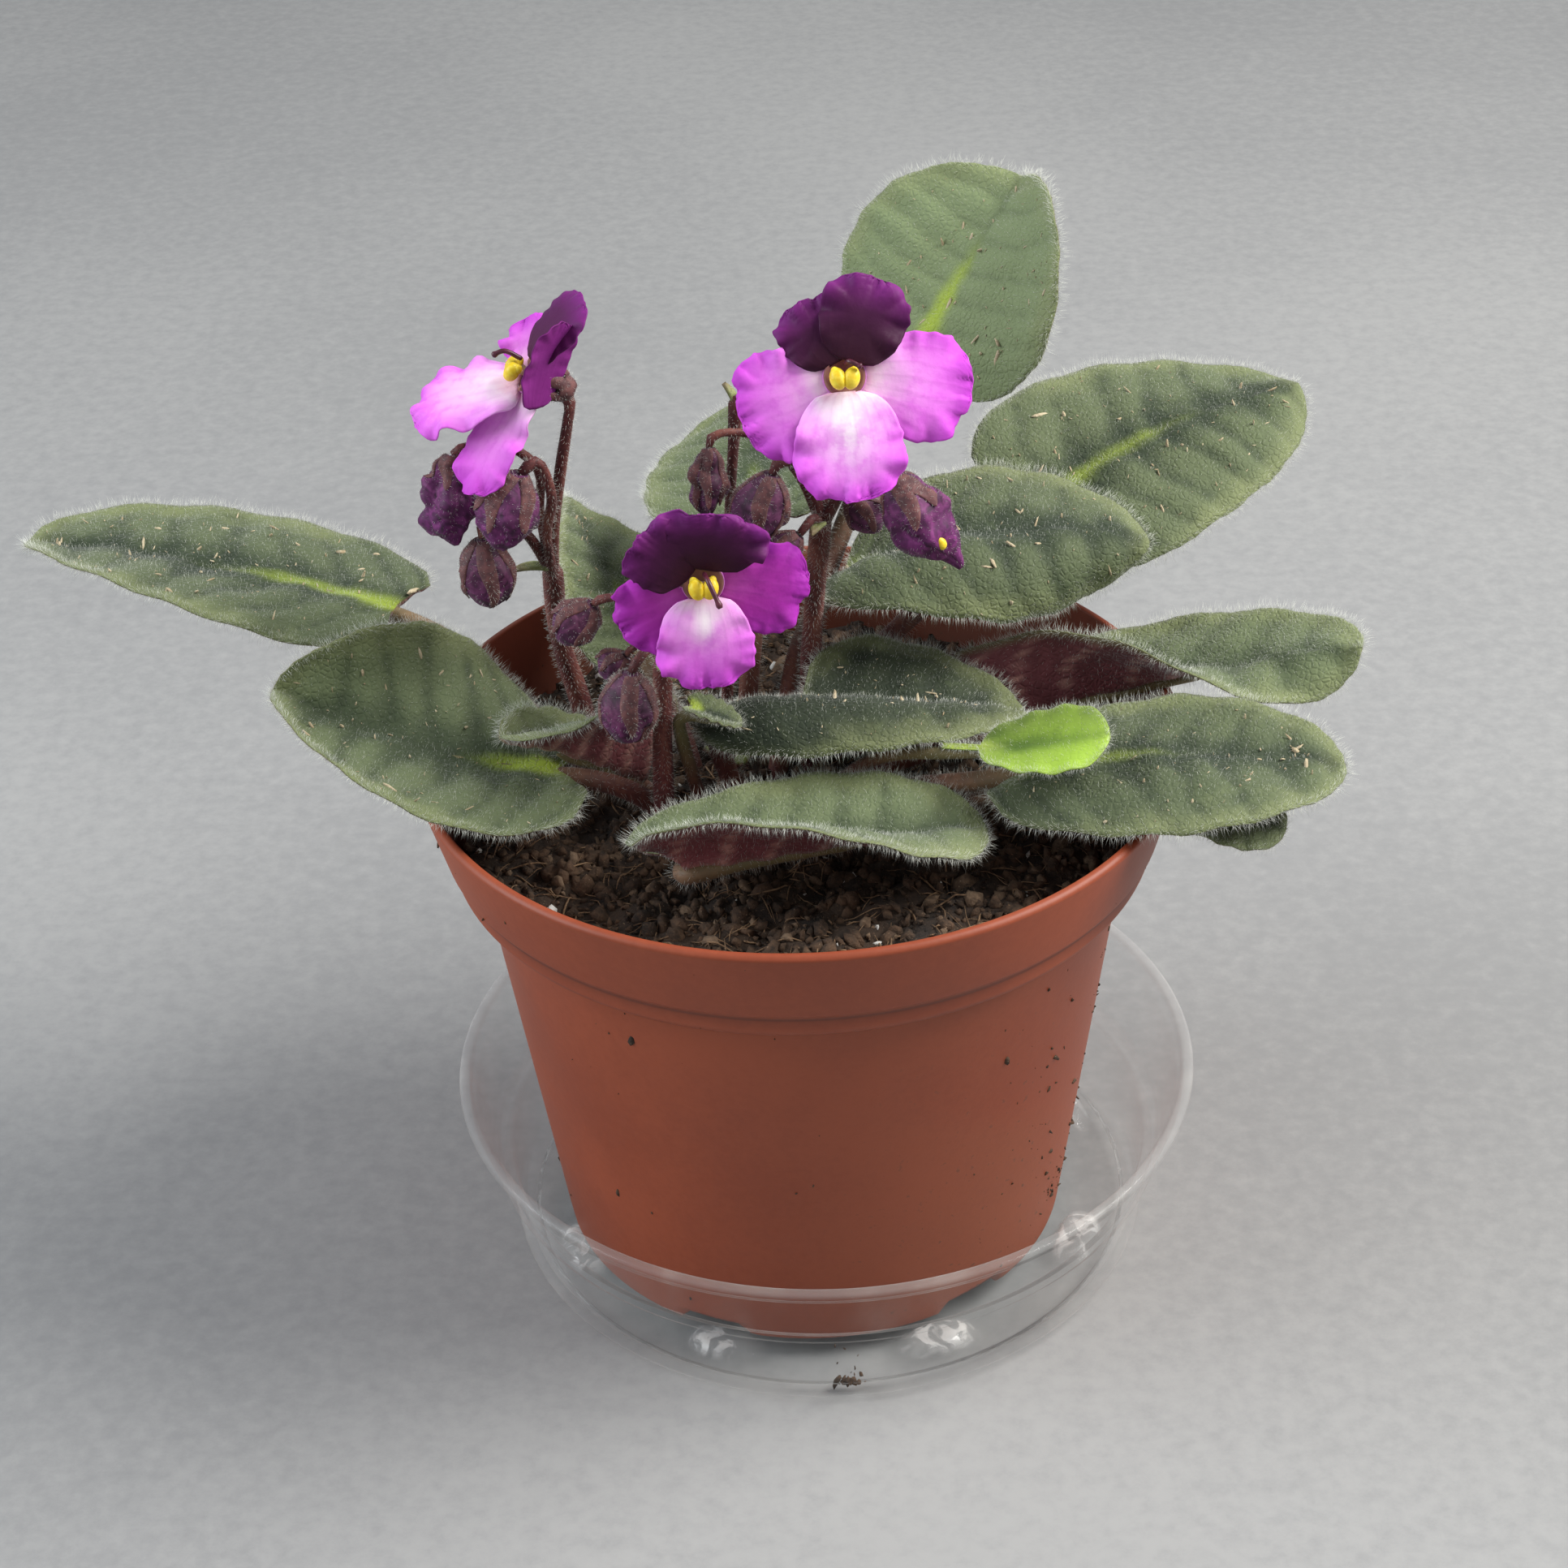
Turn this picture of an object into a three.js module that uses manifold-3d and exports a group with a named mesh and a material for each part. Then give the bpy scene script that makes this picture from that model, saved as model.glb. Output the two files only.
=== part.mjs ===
// Potted African violet, in millimetres, +Z up.
// The origin is on the pot's axis, at the underside of the saucer. -Y is the front, +X the right.
import * as THREE from "three";
import { mergeVertices } from "three/addons/utils/BufferGeometryUtils.js";
import Module from "manifold-3d";

const wasm = await Module();
wasm.setup();

const gap = 0.3; // between pieces that touch

// ---- driving dimensions: pot, saucer and soil ----

const pot = {
  rimRadius: 65,
  top: 100.5,
  bandRadius: 61.4, // foot of the rim band
  bandFoot: 85.8,
  stepRadius: 60, // rounded step under the band
  stepFoot: 80.7,
  wallTop: 55.5,
  baseRadius: 45,
  base: 4,
  wall: 1.3,
  floor: 8, // upper face of the pot's floor
  lip: 0.7, // rounding of the rim, the band's foot and the step
  notches: 6, // drainage notches round the foot
  notchTurn: 7, // where the first one lies, degrees from the right
  notchWidth: 11,
  notchHeight: 4.2,
  notchDepth: 8,
  segments: 40,
};

const saucer = {
  centre: [2.8, 0.6],
  rimRadius: 66.1,
  top: 32.3,
  ledgeRadius: 59,
  ledge: 15.7,
  footRadius: 57.3,
  wall: 1.3,
  floor: 1.6,
  lip: 2, // how far the rolled rim stands out and how high it is
  corner: 1.6, // rounding between floor and wall, and at the ledge
  pads: 8, // raised pads on the floor that hold the pot up
  padTurn: 21.5, // where the first one lies, degrees from the right
  padRadius: 48,
  padWidth: 9,
  padLength: 16,
  padFlare: 0.06,
  padSides: 8,
  segments: 34,
};

const soil = {
  level: 88,
  relief: 1.5, // height of its lumps
  lumps: [
    { height: 0.5, x: 0.33, y: -0.29, phase: 1 },
    { height: 0.5, x: 0.33, y: 0.29, phase: 1 },
    { height: 0.6, x: 0.61, y: -0.47, phase: 2 },
    { height: 0.5, x: 0.35, y: 0.83, phase: 1.6 },
  ],
  fall: 1.2, // how far it falls towards the wall
  clearance: 0.7, // to the pot's wall
  rings: 4,
  segments: 20,
  hole: 6, // how deep the stems stand in it
  holeSides: 8,
};

// ---- leaves ----
// base: where the blade meets its own stalk. heading: degrees from +X at the base, then how far it turns.
// rise: degrees above level at the base, then how far it changes. roll: right half up, likewise.
// fold: angle of each half to the midrib's plane at the base and at the tip, curl: how much each half
// bends on from midrib to margin. widest: where along the blade, lobe: how far the margins reach back.

const leaves = {
  leaf_far_left: {
    root: [-20, 3], base: [-68.4, 20.2, 115.4], heading: [159, 12], rise: [7, -4], roll: [-1, -8],
    length: 68, width: 39, foldRight: [7, 17], foldLeft: [8, 21], curlRight: [-16, -3],
    curlLeft: [-25, -8], widest: 0.39, shoulder: 0.5, lobe: 0.03, blunt: 2.2,
    outward: 0.5, upward: 0.06,
  },
  leaf_over_left_rim: {
    root: [-19, -6], base: [-40, -12, 102], heading: [182, -16], rise: [8, 19], roll: [12, 0],
    length: 49, width: 46, foldRight: [-8, 56], foldLeft: [14, 28], curlRight: [-39, 30],
    curlLeft: [-12, 15], widest: 0.41, shoulder: 0.25, lobe: 0.1, blunt: 1.5,
  },
  leaf_folded_left: {
    root: [-21, -2], base: [-27, -4, 94.6], heading: [208, 3], rise: [42, -16], roll: [-4, 6],
    length: 30, width: 36, foldRight: [30, 30], foldLeft: [108, 56], curlRight: [0, 0],
    curlLeft: [0, -60], widest: 0.42, shoulder: 0.5, lobe: 0.11, blunt: 2.2, ratioRight: 0.5,
  },
  leaf_back_left: {
    root: [-17, 7], base: [-27, 27, 104], heading: [126, 6], rise: [44, -2], roll: [-6, -38],
    length: 29, width: 35, foldRight: [15, 0], foldLeft: [6, 14], curlRight: [0, 0],
    curlLeft: [0, 0], widest: 0.41, shoulder: 0.5, lobe: 0.12, blunt: 2.2,
  },
  leaf_back: {
    root: [-10, 9], base: [-6, 25, 128], heading: [90, -3], rise: [14, -4], roll: [15, 16],
    length: 35, width: 40, foldRight: [10, 10], foldLeft: [13, 2], curlRight: [0, 0],
    curlLeft: [0, 0], widest: 0.41, shoulder: 0.49, lobe: 0.12, blunt: 2.2,
  },
  leaf_tall: {
    root: [-6, 9], base: [23, 44, 149], heading: [33, 10], rise: [52, -12], roll: [-7, 8],
    length: 35, width: 50, foldRight: [-14, 37], foldLeft: [4, 10], curlRight: [0, 0],
    curlLeft: [0, 0], widest: 0.42, shoulder: 0.33, lobe: 0.12, blunt: 2.2,
  },
  leaf_back_right: {
    root: [-2, 9], base: [46, 42, 120], heading: [38, -14], rise: [18, -22], roll: [-4, 9],
    length: 56, width: 45, foldRight: [1, -8], foldLeft: [22, 0], curlRight: [-34, -44],
    curlLeft: [0, 0], widest: 0.25, shoulder: 0.48, lobe: 0.11, blunt: 2.2,
  },
  leaf_right: {
    root: [-5, 5], base: [11, 19, 121], heading: [2, 0], rise: [23, -42], roll: [3, -7],
    length: 51, width: 40, foldRight: [51, -1], foldLeft: [16, 10], curlRight: [-83, -150],
    curlLeft: [-9, -18], widest: 0.47, shoulder: 0.48, lobe: 0.13, blunt: 1.5,
    shoulderLeft: 0, bareLeft: 0.08,
  },
  leaf_half_folded_right: {
    root: [0, -1], base: [39, 9, 96.5], heading: [8, -33], rise: [14, 3], roll: [4, -3],
    length: 59, width: 33, foldRight: [122, -60], foldLeft: [13, 11], curlRight: [20, 0],
    curlLeft: [-5, -8], widest: 0.46, shoulder: 0.55, lobe: 0.14, blunt: 2,
    widestRight: 0.4, shoulderRight: 1, ratioRight: 0.9,
  },
  leaf_over_right_rim: {
    root: [-4, -8.5], base: [37, -20, 104.3], heading: [-4, 4], rise: [10, -21], roll: [9, -6],
    length: 52, width: 38, foldRight: [-8, 5], foldLeft: [4, 18], curlRight: [-34, -16],
    curlLeft: [0, 0], widest: 0.5, shoulder: 0.25, lobe: 0.13, blunt: 1.5, ratioLeft: 0.88,
  },
  leaf_under_right: {
    root: [-7.5, -11.5], base: [60, -27, 102.6], heading: [-13, -1], rise: [-14, 0], roll: [-10, -9],
    length: 19, width: 16, foldRight: [12, 4], foldLeft: [10, 11], curlRight: [0, 0],
    curlLeft: [0, 0], widest: 0.43, shoulder: 0.5, lobe: 0.12, blunt: 2.2, small: true,
  },
  leaf_young_bright: {
    root: [-0.5, -5], base: [23.4, -18.4, 108.1], heading: [-16, 2], rise: [2, 18], roll: [-2, -1],
    length: 28, width: 15, foldRight: [10, -10], foldLeft: [10, 30], curlRight: [0, 0],
    curlLeft: [0, 0], widest: 0.68, shoulder: 0.1, bare: 0.22, lobe: 0, blunt: 2.4, small: true,
  },
  leaf_centre: {
    root: [-9, -5], base: [-10, -3.5, 108.3], heading: [1, 5], rise: [2, -18], roll: [13, 3],
    length: 49, width: 32, foldRight: [58, 28], foldLeft: [36, 22], curlRight: [-150, -50],
    curlLeft: [0, 0], widest: 0.3, shoulder: 0.3, lobe: 0.16, blunt: 2,
    ratioRight: 1.26, widestLeft: 0.5, shoulderLeft: 0, bareLeft: 0.28,
  },
  leaf_front: {
    root: [-13, -10], base: [-19, -37, 98.5], heading: [12, -1], rise: [4, -10], roll: [2, 2],
    length: 50, width: 34, ratioLeft: 0.88, foldRight: [112, 16], foldLeft: [19, 23], curlRight: [-72, -40],
    curlLeft: [0, 0], widest: 0.43, shoulder: 0.54, lobe: 0.16, blunt: 2.2, arriving: 0.08,
  },
  leaf_small_centre: {
    root: [-15.5, -7], base: [-17.6, -13.2, 113.8], heading: [-13, 3], rise: [-17, 0], roll: [6, 5],
    length: 9, width: 9, foldRight: [22, 11], foldLeft: [22, 11], curlRight: [0, 0],
    curlLeft: [0, 0], widest: 0.41, shoulder: 0.5, lobe: 0.12, blunt: 2.2, small: true,
  },
};

const blade = {
  rows: 8,
  columns: 6, // an even number, so that one line of points runs down the midrib
  smallRows: 5,
  smallColumns: 4,
  midribThickness: 1.5,
  marginThickness: 0.8,
  foldReach: 0.12, // share of a half over which it turns up from the midrib
  crowding: 1.35, // how much closer the rows are towards the tip
  waves: 5,
  waveHeight: 0.3,
  wavePhase: 0.3,
  waveFrom: 5, // half a width, under which the waves die down
  midribSteps: 40,
  normalStep: 0.02,
};

const leafStalk = {
  radius: 1.7,
  smallShare: 0.65, // a small leaf's stalk, as a share of a large one's
  sides: 5,
  steps: 9,
  sink: 0.6, // how far under the blade's base it arrives
  ridge: 0.5, // and how far under the midrib it runs on
  ridgeAt: [0.2, 0.4, 0.6],
  outward: 0.25, // how it leaves the soil, as shares of its span
  upward: 0.4,
  steepest: 0.8,
  arriving: 0.35,
  arrivingMost: 0.5, // as a share of the blade's length
  thinning: 0.6,
  thinOver: 0.65,
};

// ---- crown ----
// The short stem in the middle, with the first furled leaves of the next growth.

const crown = {
  centre: [-11.5, 1],
  radius: 3,
  top: 92,
  narrowing: 0.7,
  sides: 8,
  sprouts: [
    { heading: 20, rise: 62, length: 8 },
    { heading: 200, rise: 70, length: 9 },
    { heading: 290, rise: 66, length: 7 },
  ],
};

// ---- flower stalks ----
// Each rod: the points that it passes through, and its radius at the start and at the end.

const stalks = {
  stalk_left: [
    { through: [[-35, 16, 82], [-37.5, 15.5, 98], [-40, 13, 113], [-40, 9, 129]], radius: [1.9, 1.7] },
    { through: [[-40, 9, 127], [-39, 7, 137], [-37, 5, 149], [-35.2, 3.4, 158], [-34.6, 3, 162]],
      radius: [1, 0.9], bloom: "bloom_left" },
    { through: [[-40, 9, 127], [-41, 6, 141], [-40.5, 4.5, 149], [-43.5, 4, 153], [-48, 3.5, 154.5],
        [-52, 3, 154.5]],
      radius: [0.9, 0.7], bud: "bud_left_wilted" },
    { through: [[-40, 9, 127], [-40, 4, 138], [-38.4, 0, 147], [-40.2, -1.6, 154]],
      radius: [0.9, 0.8], bud: "bud_left_big" },
    { through: [[-40, 9, 127], [-43, 6, 136], [-47, 3, 142], [-50, 1, 141]],
      radius: [0.9, 0.8], bud: "bud_left_low" },
  ],
  stalk_right: [
    { through: [[1, 7, 82], [2, 7.6, 94], [2.6, 9.4, 109], [3.6, 6, 124], [5, 1, 141]], radius: [1.9, 1.7] },
    { through: [[5, 1, 139], [6, 2, 150], [8, 1, 160], [9, -2, 167]],
      radius: [1, 0.9], bloom: "bloom_right" },
    { through: [[5, 1, 139], [3.5, 0, 147], [1, -1, 152], [-2, -2, 152]],
      radius: [1, 0.8], bud: "bud_right_large" },
    { through: [[5, 1, 139], [3.5, -2, 142], [2, -3.5, 141]], radius: [0.9, 0.7], bud: "bud_right_low" },
    { through: [[5, 1, 139], [1, 4, 148], [-6, 3, 155], [-12, 1, 156]],
      radius: [0.9, 0.6], bud: "bud_right_withered" },
    { through: [[5, 1, 139], [7, 2, 144], [9.5, 3, 145.5]], radius: [0.9, 0.7], bud: "bud_right_rear" },
    { through: [[5, 1, 139], [9, -1, 147], [13, -2, 151], [16, -2.6, 151]],
      radius: [1, 0.8], bud: "bud_right_opening" },
  ],
  stalk_front: [
    { through: [[-23, -12.5, 82], [-22.5, -12.5, 105], [-21.5, -12, 123]], radius: [1.8, 1.6] },
    { through: [[-21.5, -12, 121], [-20, -11, 130], [-17, -12, 138], [-14.7, -15.5, 141.6]],
      radius: [1, 0.9], bloom: "bloom_front" },
    { through: [[-21.5, -12, 121], [-24, -10.5, 129], [-28, -9, 132.5], [-31.5, -8, 131.8]],
      radius: [0.9, 0.7], bud: "bud_front_left" },
    { through: [[-21.5, -12, 121], [-24, -10.5, 125], [-26.8, -10, 123.4]],
      radius: [0.8, 0.6], bud: "bud_front_round" },
    { through: [[-21.5, -12, 121], [-22.5, -15, 127], [-25, -20, 127.6]],
      radius: [0.9, 0.8], bud: "bud_front_hanging" },
  ],
  stalk_slim: [
    { through: [[-13, 8.5, 82], [-11, 7.5, 120], [-10, 7, 139], [-8, 7, 160]], radius: [1.1, 0.9] },
  ],
};

// Little leaves where the side stalks part: where they start, which way they point, their length.
const bracts = {
  stalk_left: [{ base: [-40.5, 8, 129], heading: 195, rise: 20, length: 6 }],
  stalk_right: [{ base: [5, 0, 140], heading: 250, rise: 20, length: 5 }],
  stalk_front: [{ base: [-22, -13, 122], heading: 300, rise: 10, length: 5 }],
  stalk_slim: [
    { base: [-8.2, 7, 158.5], heading: 150, rise: 70, length: 4 },
    { base: [-7.8, 7, 158.5], heading: 330, rise: 75, length: 4 },
  ],
};

const bractForm = {
  roll: [0, 0], foldRight: [20, 20], foldLeft: [20, 20], curlRight: [0, 0], curlLeft: [0, 0],
  widest: 0.4, shoulder: 0.6, lobe: 0, blunt: 1.3, thick: 1, wave: 0, slender: 0.45, rows: 4, columns: 2,
};

const stalkForm = { mainOver: 1.5, mainSides: 8, mainStep: 9, sideSides: 4, sideStep: 4.5 };
const calyx = { size: 6, mouth: 0.42, foot: 0.22, depth: 0.4, sides: 8 }; // all but size as shares of it

// Buds: from where they hang to their tip, and their greatest radius.
const buds = {
  bud_left_wilted: { base: [-54.2, 2.8, 153.4], tip: [-56, 2, 138], radius: 4.2, crumple: 0.28 },
  bud_left_big: { base: [-43, -2.8, 152.4], tip: [-47.4, -3.8, 140], radius: 5, crumple: 0.05 },
  bud_left_low: { base: [-50.2, 0.7, 139], tip: [-49.8, 0, 127], radius: 4.6, crumple: 0.05 },
  bud_right_large: { base: [-2.8, -2.4, 150.4], tip: [-6.6, -3.6, 139.8], radius: 4.5, crumple: 0.05 },
  bud_right_low: { base: [1.2, -4, 140.2], tip: [-4.6, -4.6, 134.8], radius: 3, crumple: 0.05 },
  bud_right_withered: { base: [-12.8, 0.8, 154], tip: [-13.6, 0, 142.6], radius: 3, crumple: 0.2 },
  bud_right_rear: { base: [10, 3.2, 144.3], tip: [14, 3.6, 136.4], radius: 3.3, crumple: 0.05 },
  bud_right_opening: { base: [16.6, -2.8, 149.6], tip: [25, -4.6, 134.6], radius: 5.2, crumple: 0.1 },
  bud_front_left: { base: [-32.6, -7.8, 130.8], tip: [-38.2, -7, 124.2], radius: 3.9, crumple: 0.05 },
  bud_front_round: { base: [-27.6, -9.8, 122.3], tip: [-31.6, -9.4, 118.6], radius: 2.8, crumple: 0.04 },
  bud_front_hanging: { base: [-26.4, -21, 125.6], tip: [-27.8, -21.8, 113.6], radius: 4.7, crumple: 0.06 },
};

const budForm = { sides: 10, levels: 5, ends: 0.06, fullness: 0.75, ridges: 5, ridgeHeight: 0.07 };

// ---- blooms ----
// throat: the middle of the open face. azimuth and elevation: which way it faces.
// Each lobe: its direction in the face, degrees from the bloom's right, its length, width and lean
// forward, how far before or behind its neighbours it lies, how it rolls, and where its foot is if it
// doesn't begin on the ring round the throat.

const blooms = {
  bloom_left: {
    throat: [-40.6, 3, 167.2], azimuth: 178, elevation: 26,
    lobes: {
      rear_upper: { turn: 96, length: 15.5, width: 12.5, lean: -13, layer: 0.7, roll: [-20, 0] },
      near_upper: {
        turn: 97, length: 17.5, width: 9.5, lean: 9, layer: -2.6, roll: [44, 0], foot: [5, -2.8],
      },
      far_side: { turn: 152, length: 11.5, width: 12, lean: 24, layer: -0.7, roll: [-40, 0] },
      near_side: { turn: -64, length: 21.5, width: 10.5, lean: 12, layer: -0.7, roll: [48, 0] },
      lip: { turn: -98, length: 21.5, width: 16, lean: 52, layer: 0.5, roll: [10, 0] },
    },
    styleTip: [0.3, 0.6, 6.5],
  },
  bloom_right: {
    throat: [9, -12, 172], azimuth: -90, elevation: 28,
    lobes: {
      upper_left: { turn: 116, length: 13.4, width: 13.5, lean: 4, layer: 0.7 },
      upper_right: { turn: 70, length: 16, width: 14, lean: 0, layer: 0.9 },
      side_left: { turn: 202, length: 17.6, width: 17.5, lean: 2, layer: -0.7 },
      side_right: { turn: -9, length: 20, width: 17, lean: 0, layer: -0.7 },
      lip: { turn: -88, length: 19.3, width: 17.5, lean: 6, layer: 0.5 },
    },
    styleTip: [2.6, 1.2, 4],
  },
  bloom_front: {
    throat: [-14, -25, 144], azimuth: -87, elevation: 15,
    lobes: {
      upper_left: { turn: 140, length: 13.5, width: 12, lean: 20, layer: 0.7 },
      upper_right: { turn: 78, length: 12.6, width: 18.5, lean: 26, layer: 0.9 },
      side_left: { turn: 211, length: 15.5, width: 13, lean: 0, layer: -0.7 },
      side_right: { turn: -11, length: 17, width: 15, lean: -4, layer: -0.7 },
      lip: { turn: -91, length: 17.2, width: 15.5, lean: 4, layer: 0.5 },
    },
    styleTip: [2.4, -2.8, 5.8],
  },
};

const corolla = {
  tubeLength: 5,
  tubeRadius: 1.7,
  tubeFlare: 0.5,
  throatRadius: 3.4,
  throatRise: 0.8,
  throatDip: 0.6,
  tubeSides: 12,
  start: 2.4, // how far from the middle the lobes begin
  archAtStart: 6, // how far a lobe rises over its lean, and how far it bends back
  archBack: -22,
  rows: 5,
  columns: 4,
};
const petalForm = {
  roll: [0, 0], foldRight: [4, 4], foldLeft: [4, 4], curlRight: [-14, -20], curlLeft: [-14, -20],
  widest: 0.62, shoulder: 0.3, lobe: 0, blunt: 2.6, thick: 0.9, wave: 0.7, waves: 2.5,
};
const anther = {
  radius: 1.25, length: 3.4, apart: 2.1, forward: 2.8, drop: -0.4, splay: 0.5,
  sides: 6, levels: 5, filament: 0.5,
};
const style = { radius: 0.45, rootUp: 1.9, rootForward: 2, sides: 5, steps: 5 };

const degrees = Math.PI / 180;
const leafGreen = new THREE.MeshStandardMaterial({ color: 0x4f6246, roughness: 0.85 });
const youngGreen = new THREE.MeshStandardMaterial({ color: 0x86b234, roughness: 0.8 });
const stalkBrown = new THREE.MeshStandardMaterial({ color: 0x54303a, roughness: 0.8 });
const budPurple = new THREE.MeshStandardMaterial({ color: 0x4d2748, roughness: 0.75 });
const petalPink = new THREE.MeshStandardMaterial({ color: 0xb44ec4, roughness: 0.7 });
const antherYellow = new THREE.MeshStandardMaterial({ color: 0xf0cf1c, roughness: 0.6 });
const styleMaroon = new THREE.MeshStandardMaterial({ color: 0x3b1526, roughness: 0.6 });
const terracotta = new THREE.MeshStandardMaterial({ color: 0x9a4f36, roughness: 0.5 });
const clearPlastic = new THREE.MeshStandardMaterial({ color: 0xb9bdbc, roughness: 0.15 });
const darkSoil = new THREE.MeshStandardMaterial({ color: 0x33241b, roughness: 1 });

// ---- solids ----

// A closed geometry as a solid that can be joined and cut.
function solid(geometry) {
  const bare = geometry.clone();
  bare.deleteAttribute("normal");
  bare.deleteAttribute("uv");
  const merged = mergeVertices(bare, 1e-4);
  const corners = [];
  const index = merged.index.array;
  for (let i = 0; i < index.length; i += 3) {
    const [a, b, c] = [index[i], index[i + 1], index[i + 2]];
    if (a !== b && b !== c && c !== a) corners.push(a, b, c);
  }
  return new wasm.Manifold(
    new wasm.Mesh({
      numProp: 3,
      vertProperties: new Float32Array(merged.attributes.position.array),
      triVerts: new Uint32Array(corners),
    }),
  );
}

// A solid as a named mesh of the part.
function pieceOf(name, shape, material) {
  const mesh = shape.getMesh();
  const geometry = new THREE.BufferGeometry();
  geometry.setAttribute("position", new THREE.BufferAttribute(mesh.vertProperties, 3));
  geometry.setIndex(new THREE.BufferAttribute(mesh.triVerts, 1));
  const piece = new THREE.Mesh(geometry, material);
  piece.name = name;
  return piece;
}

function join(shapes) {
  return shapes.reduce((whole, shape) => whole.add(shape));
}

// Triangles over rings of points: each ring joins the next, and the first and last are closed.
function closedRings(rings) {
  const positions = [];
  const faces = [];
  const count = rings[0].length;
  rings.forEach((ring) => ring.forEach((point) => positions.push(point.x, point.y, point.z)));
  for (let k = 0; k + 1 < rings.length; k += 1) {
    for (let i = 0; i < count; i += 1) {
      const next = (i + 1) % count;
      const low = k * count;
      faces.push(low + i, low + next, low + count + i);
      faces.push(low + next, low + count + next, low + count + i);
    }
  }
  const ends = [rings[0], rings[rings.length - 1]];
  ends.forEach((ring, end) => {
    const middle = new THREE.Vector3();
    ring.forEach((point) => middle.add(point));
    middle.divideScalar(count);
    positions.push(middle.x, middle.y, middle.z);
    const centre = positions.length / 3 - 1;
    const first = end * (rings.length - 1) * count;
    for (let i = 0; i < count; i += 1) {
      const next = (i + 1) % count;
      if (end === 0) faces.push(first + next, first + i, centre);
      else faces.push(first + i, first + next, centre);
    }
  });
  const geometry = new THREE.BufferGeometry();
  geometry.setAttribute("position", new THREE.Float32BufferAttribute(positions, 3));
  geometry.setIndex(faces);
  return geometry;
}

// A round rod along a curve, whose radius is a function of the way along it from 0 to 1.
function rod(curve, radiusAt, sides, steps) {
  const frames = curve.computeFrenetFrames(steps, false);
  const rings = [];
  for (let k = 0; k <= steps; k += 1) {
    const centre = curve.getPointAt(k / steps);
    const ring = [];
    for (let i = 0; i < sides; i += 1) {
      const turn = (2 * Math.PI * i) / sides;
      ring.push(
        centre
          .clone()
          .addScaledVector(frames.normals[k], radiusAt(k / steps) * Math.cos(turn))
          .addScaledVector(frames.binormals[k], radiusAt(k / steps) * Math.sin(turn)),
      );
    }
    rings.push(ring);
  }
  return closedRings(rings);
}

function turned(profile, segments) {
  const points = profile.map(([radius, height]) => new THREE.Vector2(radius, height));
  return new THREE.LatheGeometry(points, segments).rotateX(Math.PI / 2);
}

function mix(ends, along) {
  return ends[0] + (ends[1] - ends[0]) * along;
}

// ---- blade surface, shared by leaves and petals ----

// Directions along, to the right of and up from the midrib, a share of the way along it.
function bladeAxes(leaf, along) {
  const heading = (leaf.heading[0] + leaf.heading[1] * along) * degrees;
  const rise = (leaf.rise[0] + leaf.rise[1] * along) * degrees;
  const roll = (leaf.roll[0] + leaf.roll[1] * along) * degrees;
  const forward = new THREE.Vector3(
    Math.cos(rise) * Math.cos(heading),
    Math.cos(rise) * Math.sin(heading),
    Math.sin(rise),
  );
  const level = new THREE.Vector3(Math.sin(heading), -Math.cos(heading), 0);
  const upright = new THREE.Vector3().crossVectors(level, forward);
  const right = level
    .clone()
    .multiplyScalar(Math.cos(roll))
    .addScaledVector(upright, Math.sin(roll));
  const up = upright
    .clone()
    .multiplyScalar(Math.cos(roll))
    .addScaledVector(level, -Math.sin(roll));
  return { forward, right, up };
}

function midribPoint(leaf, along) {
  const point = new THREE.Vector3(...leaf.base);
  const steps = along * blade.midribSteps;
  for (let k = 0; k < steps; k += 1) {
    const share = Math.min(1, steps - k) / blade.midribSteps;
    const { forward } = bladeAxes(leaf, (k + 0.5) / blade.midribSteps);
    point.addScaledVector(forward, share * leaf.length);
  }
  return point;
}

function halfWidth(leaf, along, toRight) {
  const widest = (toRight ? leaf.widestRight : leaf.widestLeft) ?? leaf.widest;
  const shoulder = (toRight ? leaf.shoulderRight : leaf.shoulderLeft) ?? leaf.shoulder;
  const ratio = (toRight ? leaf.ratioRight : leaf.ratioLeft) ?? 1;
  const bare = (toRight ? leaf.bareRight : leaf.bareLeft) ?? leaf.bare ?? 0;
  const back = Math.min(1, Math.max(0, (widest - along) / (widest - bare)));
  const ahead = Math.max(0, (along - widest) / (1 - widest));
  const share =
    along < widest
      ? shoulder + (1 - shoulder) * Math.sqrt(1 - back * back)
      : Math.sqrt(Math.max(0, 1 - ahead ** leaf.blunt));
  return 0.5 * leaf.width * ratio * share;
}

// Cross-section of one half: it turns up by fold near the midrib and curls on to the margin.
function halfSection(out, fold, curl) {
  const bend = Math.abs(curl) < 1e-3 ? 1e-3 : curl;
  const first = fold / blade.foldReach + bend;
  const turnUp = Math.abs(first) < 1e-3 ? 1e-3 : first;
  const near = turnUp * Math.min(out, blade.foldReach);
  const from = fold + bend * blade.foldReach;
  const to = fold + bend * Math.max(out, blade.foldReach);
  return [
    Math.sin(near) / turnUp + (Math.sin(to) - Math.sin(from)) / bend,
    (1 - Math.cos(near)) / turnUp + (Math.cos(from) - Math.cos(to)) / bend,
  ];
}

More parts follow.
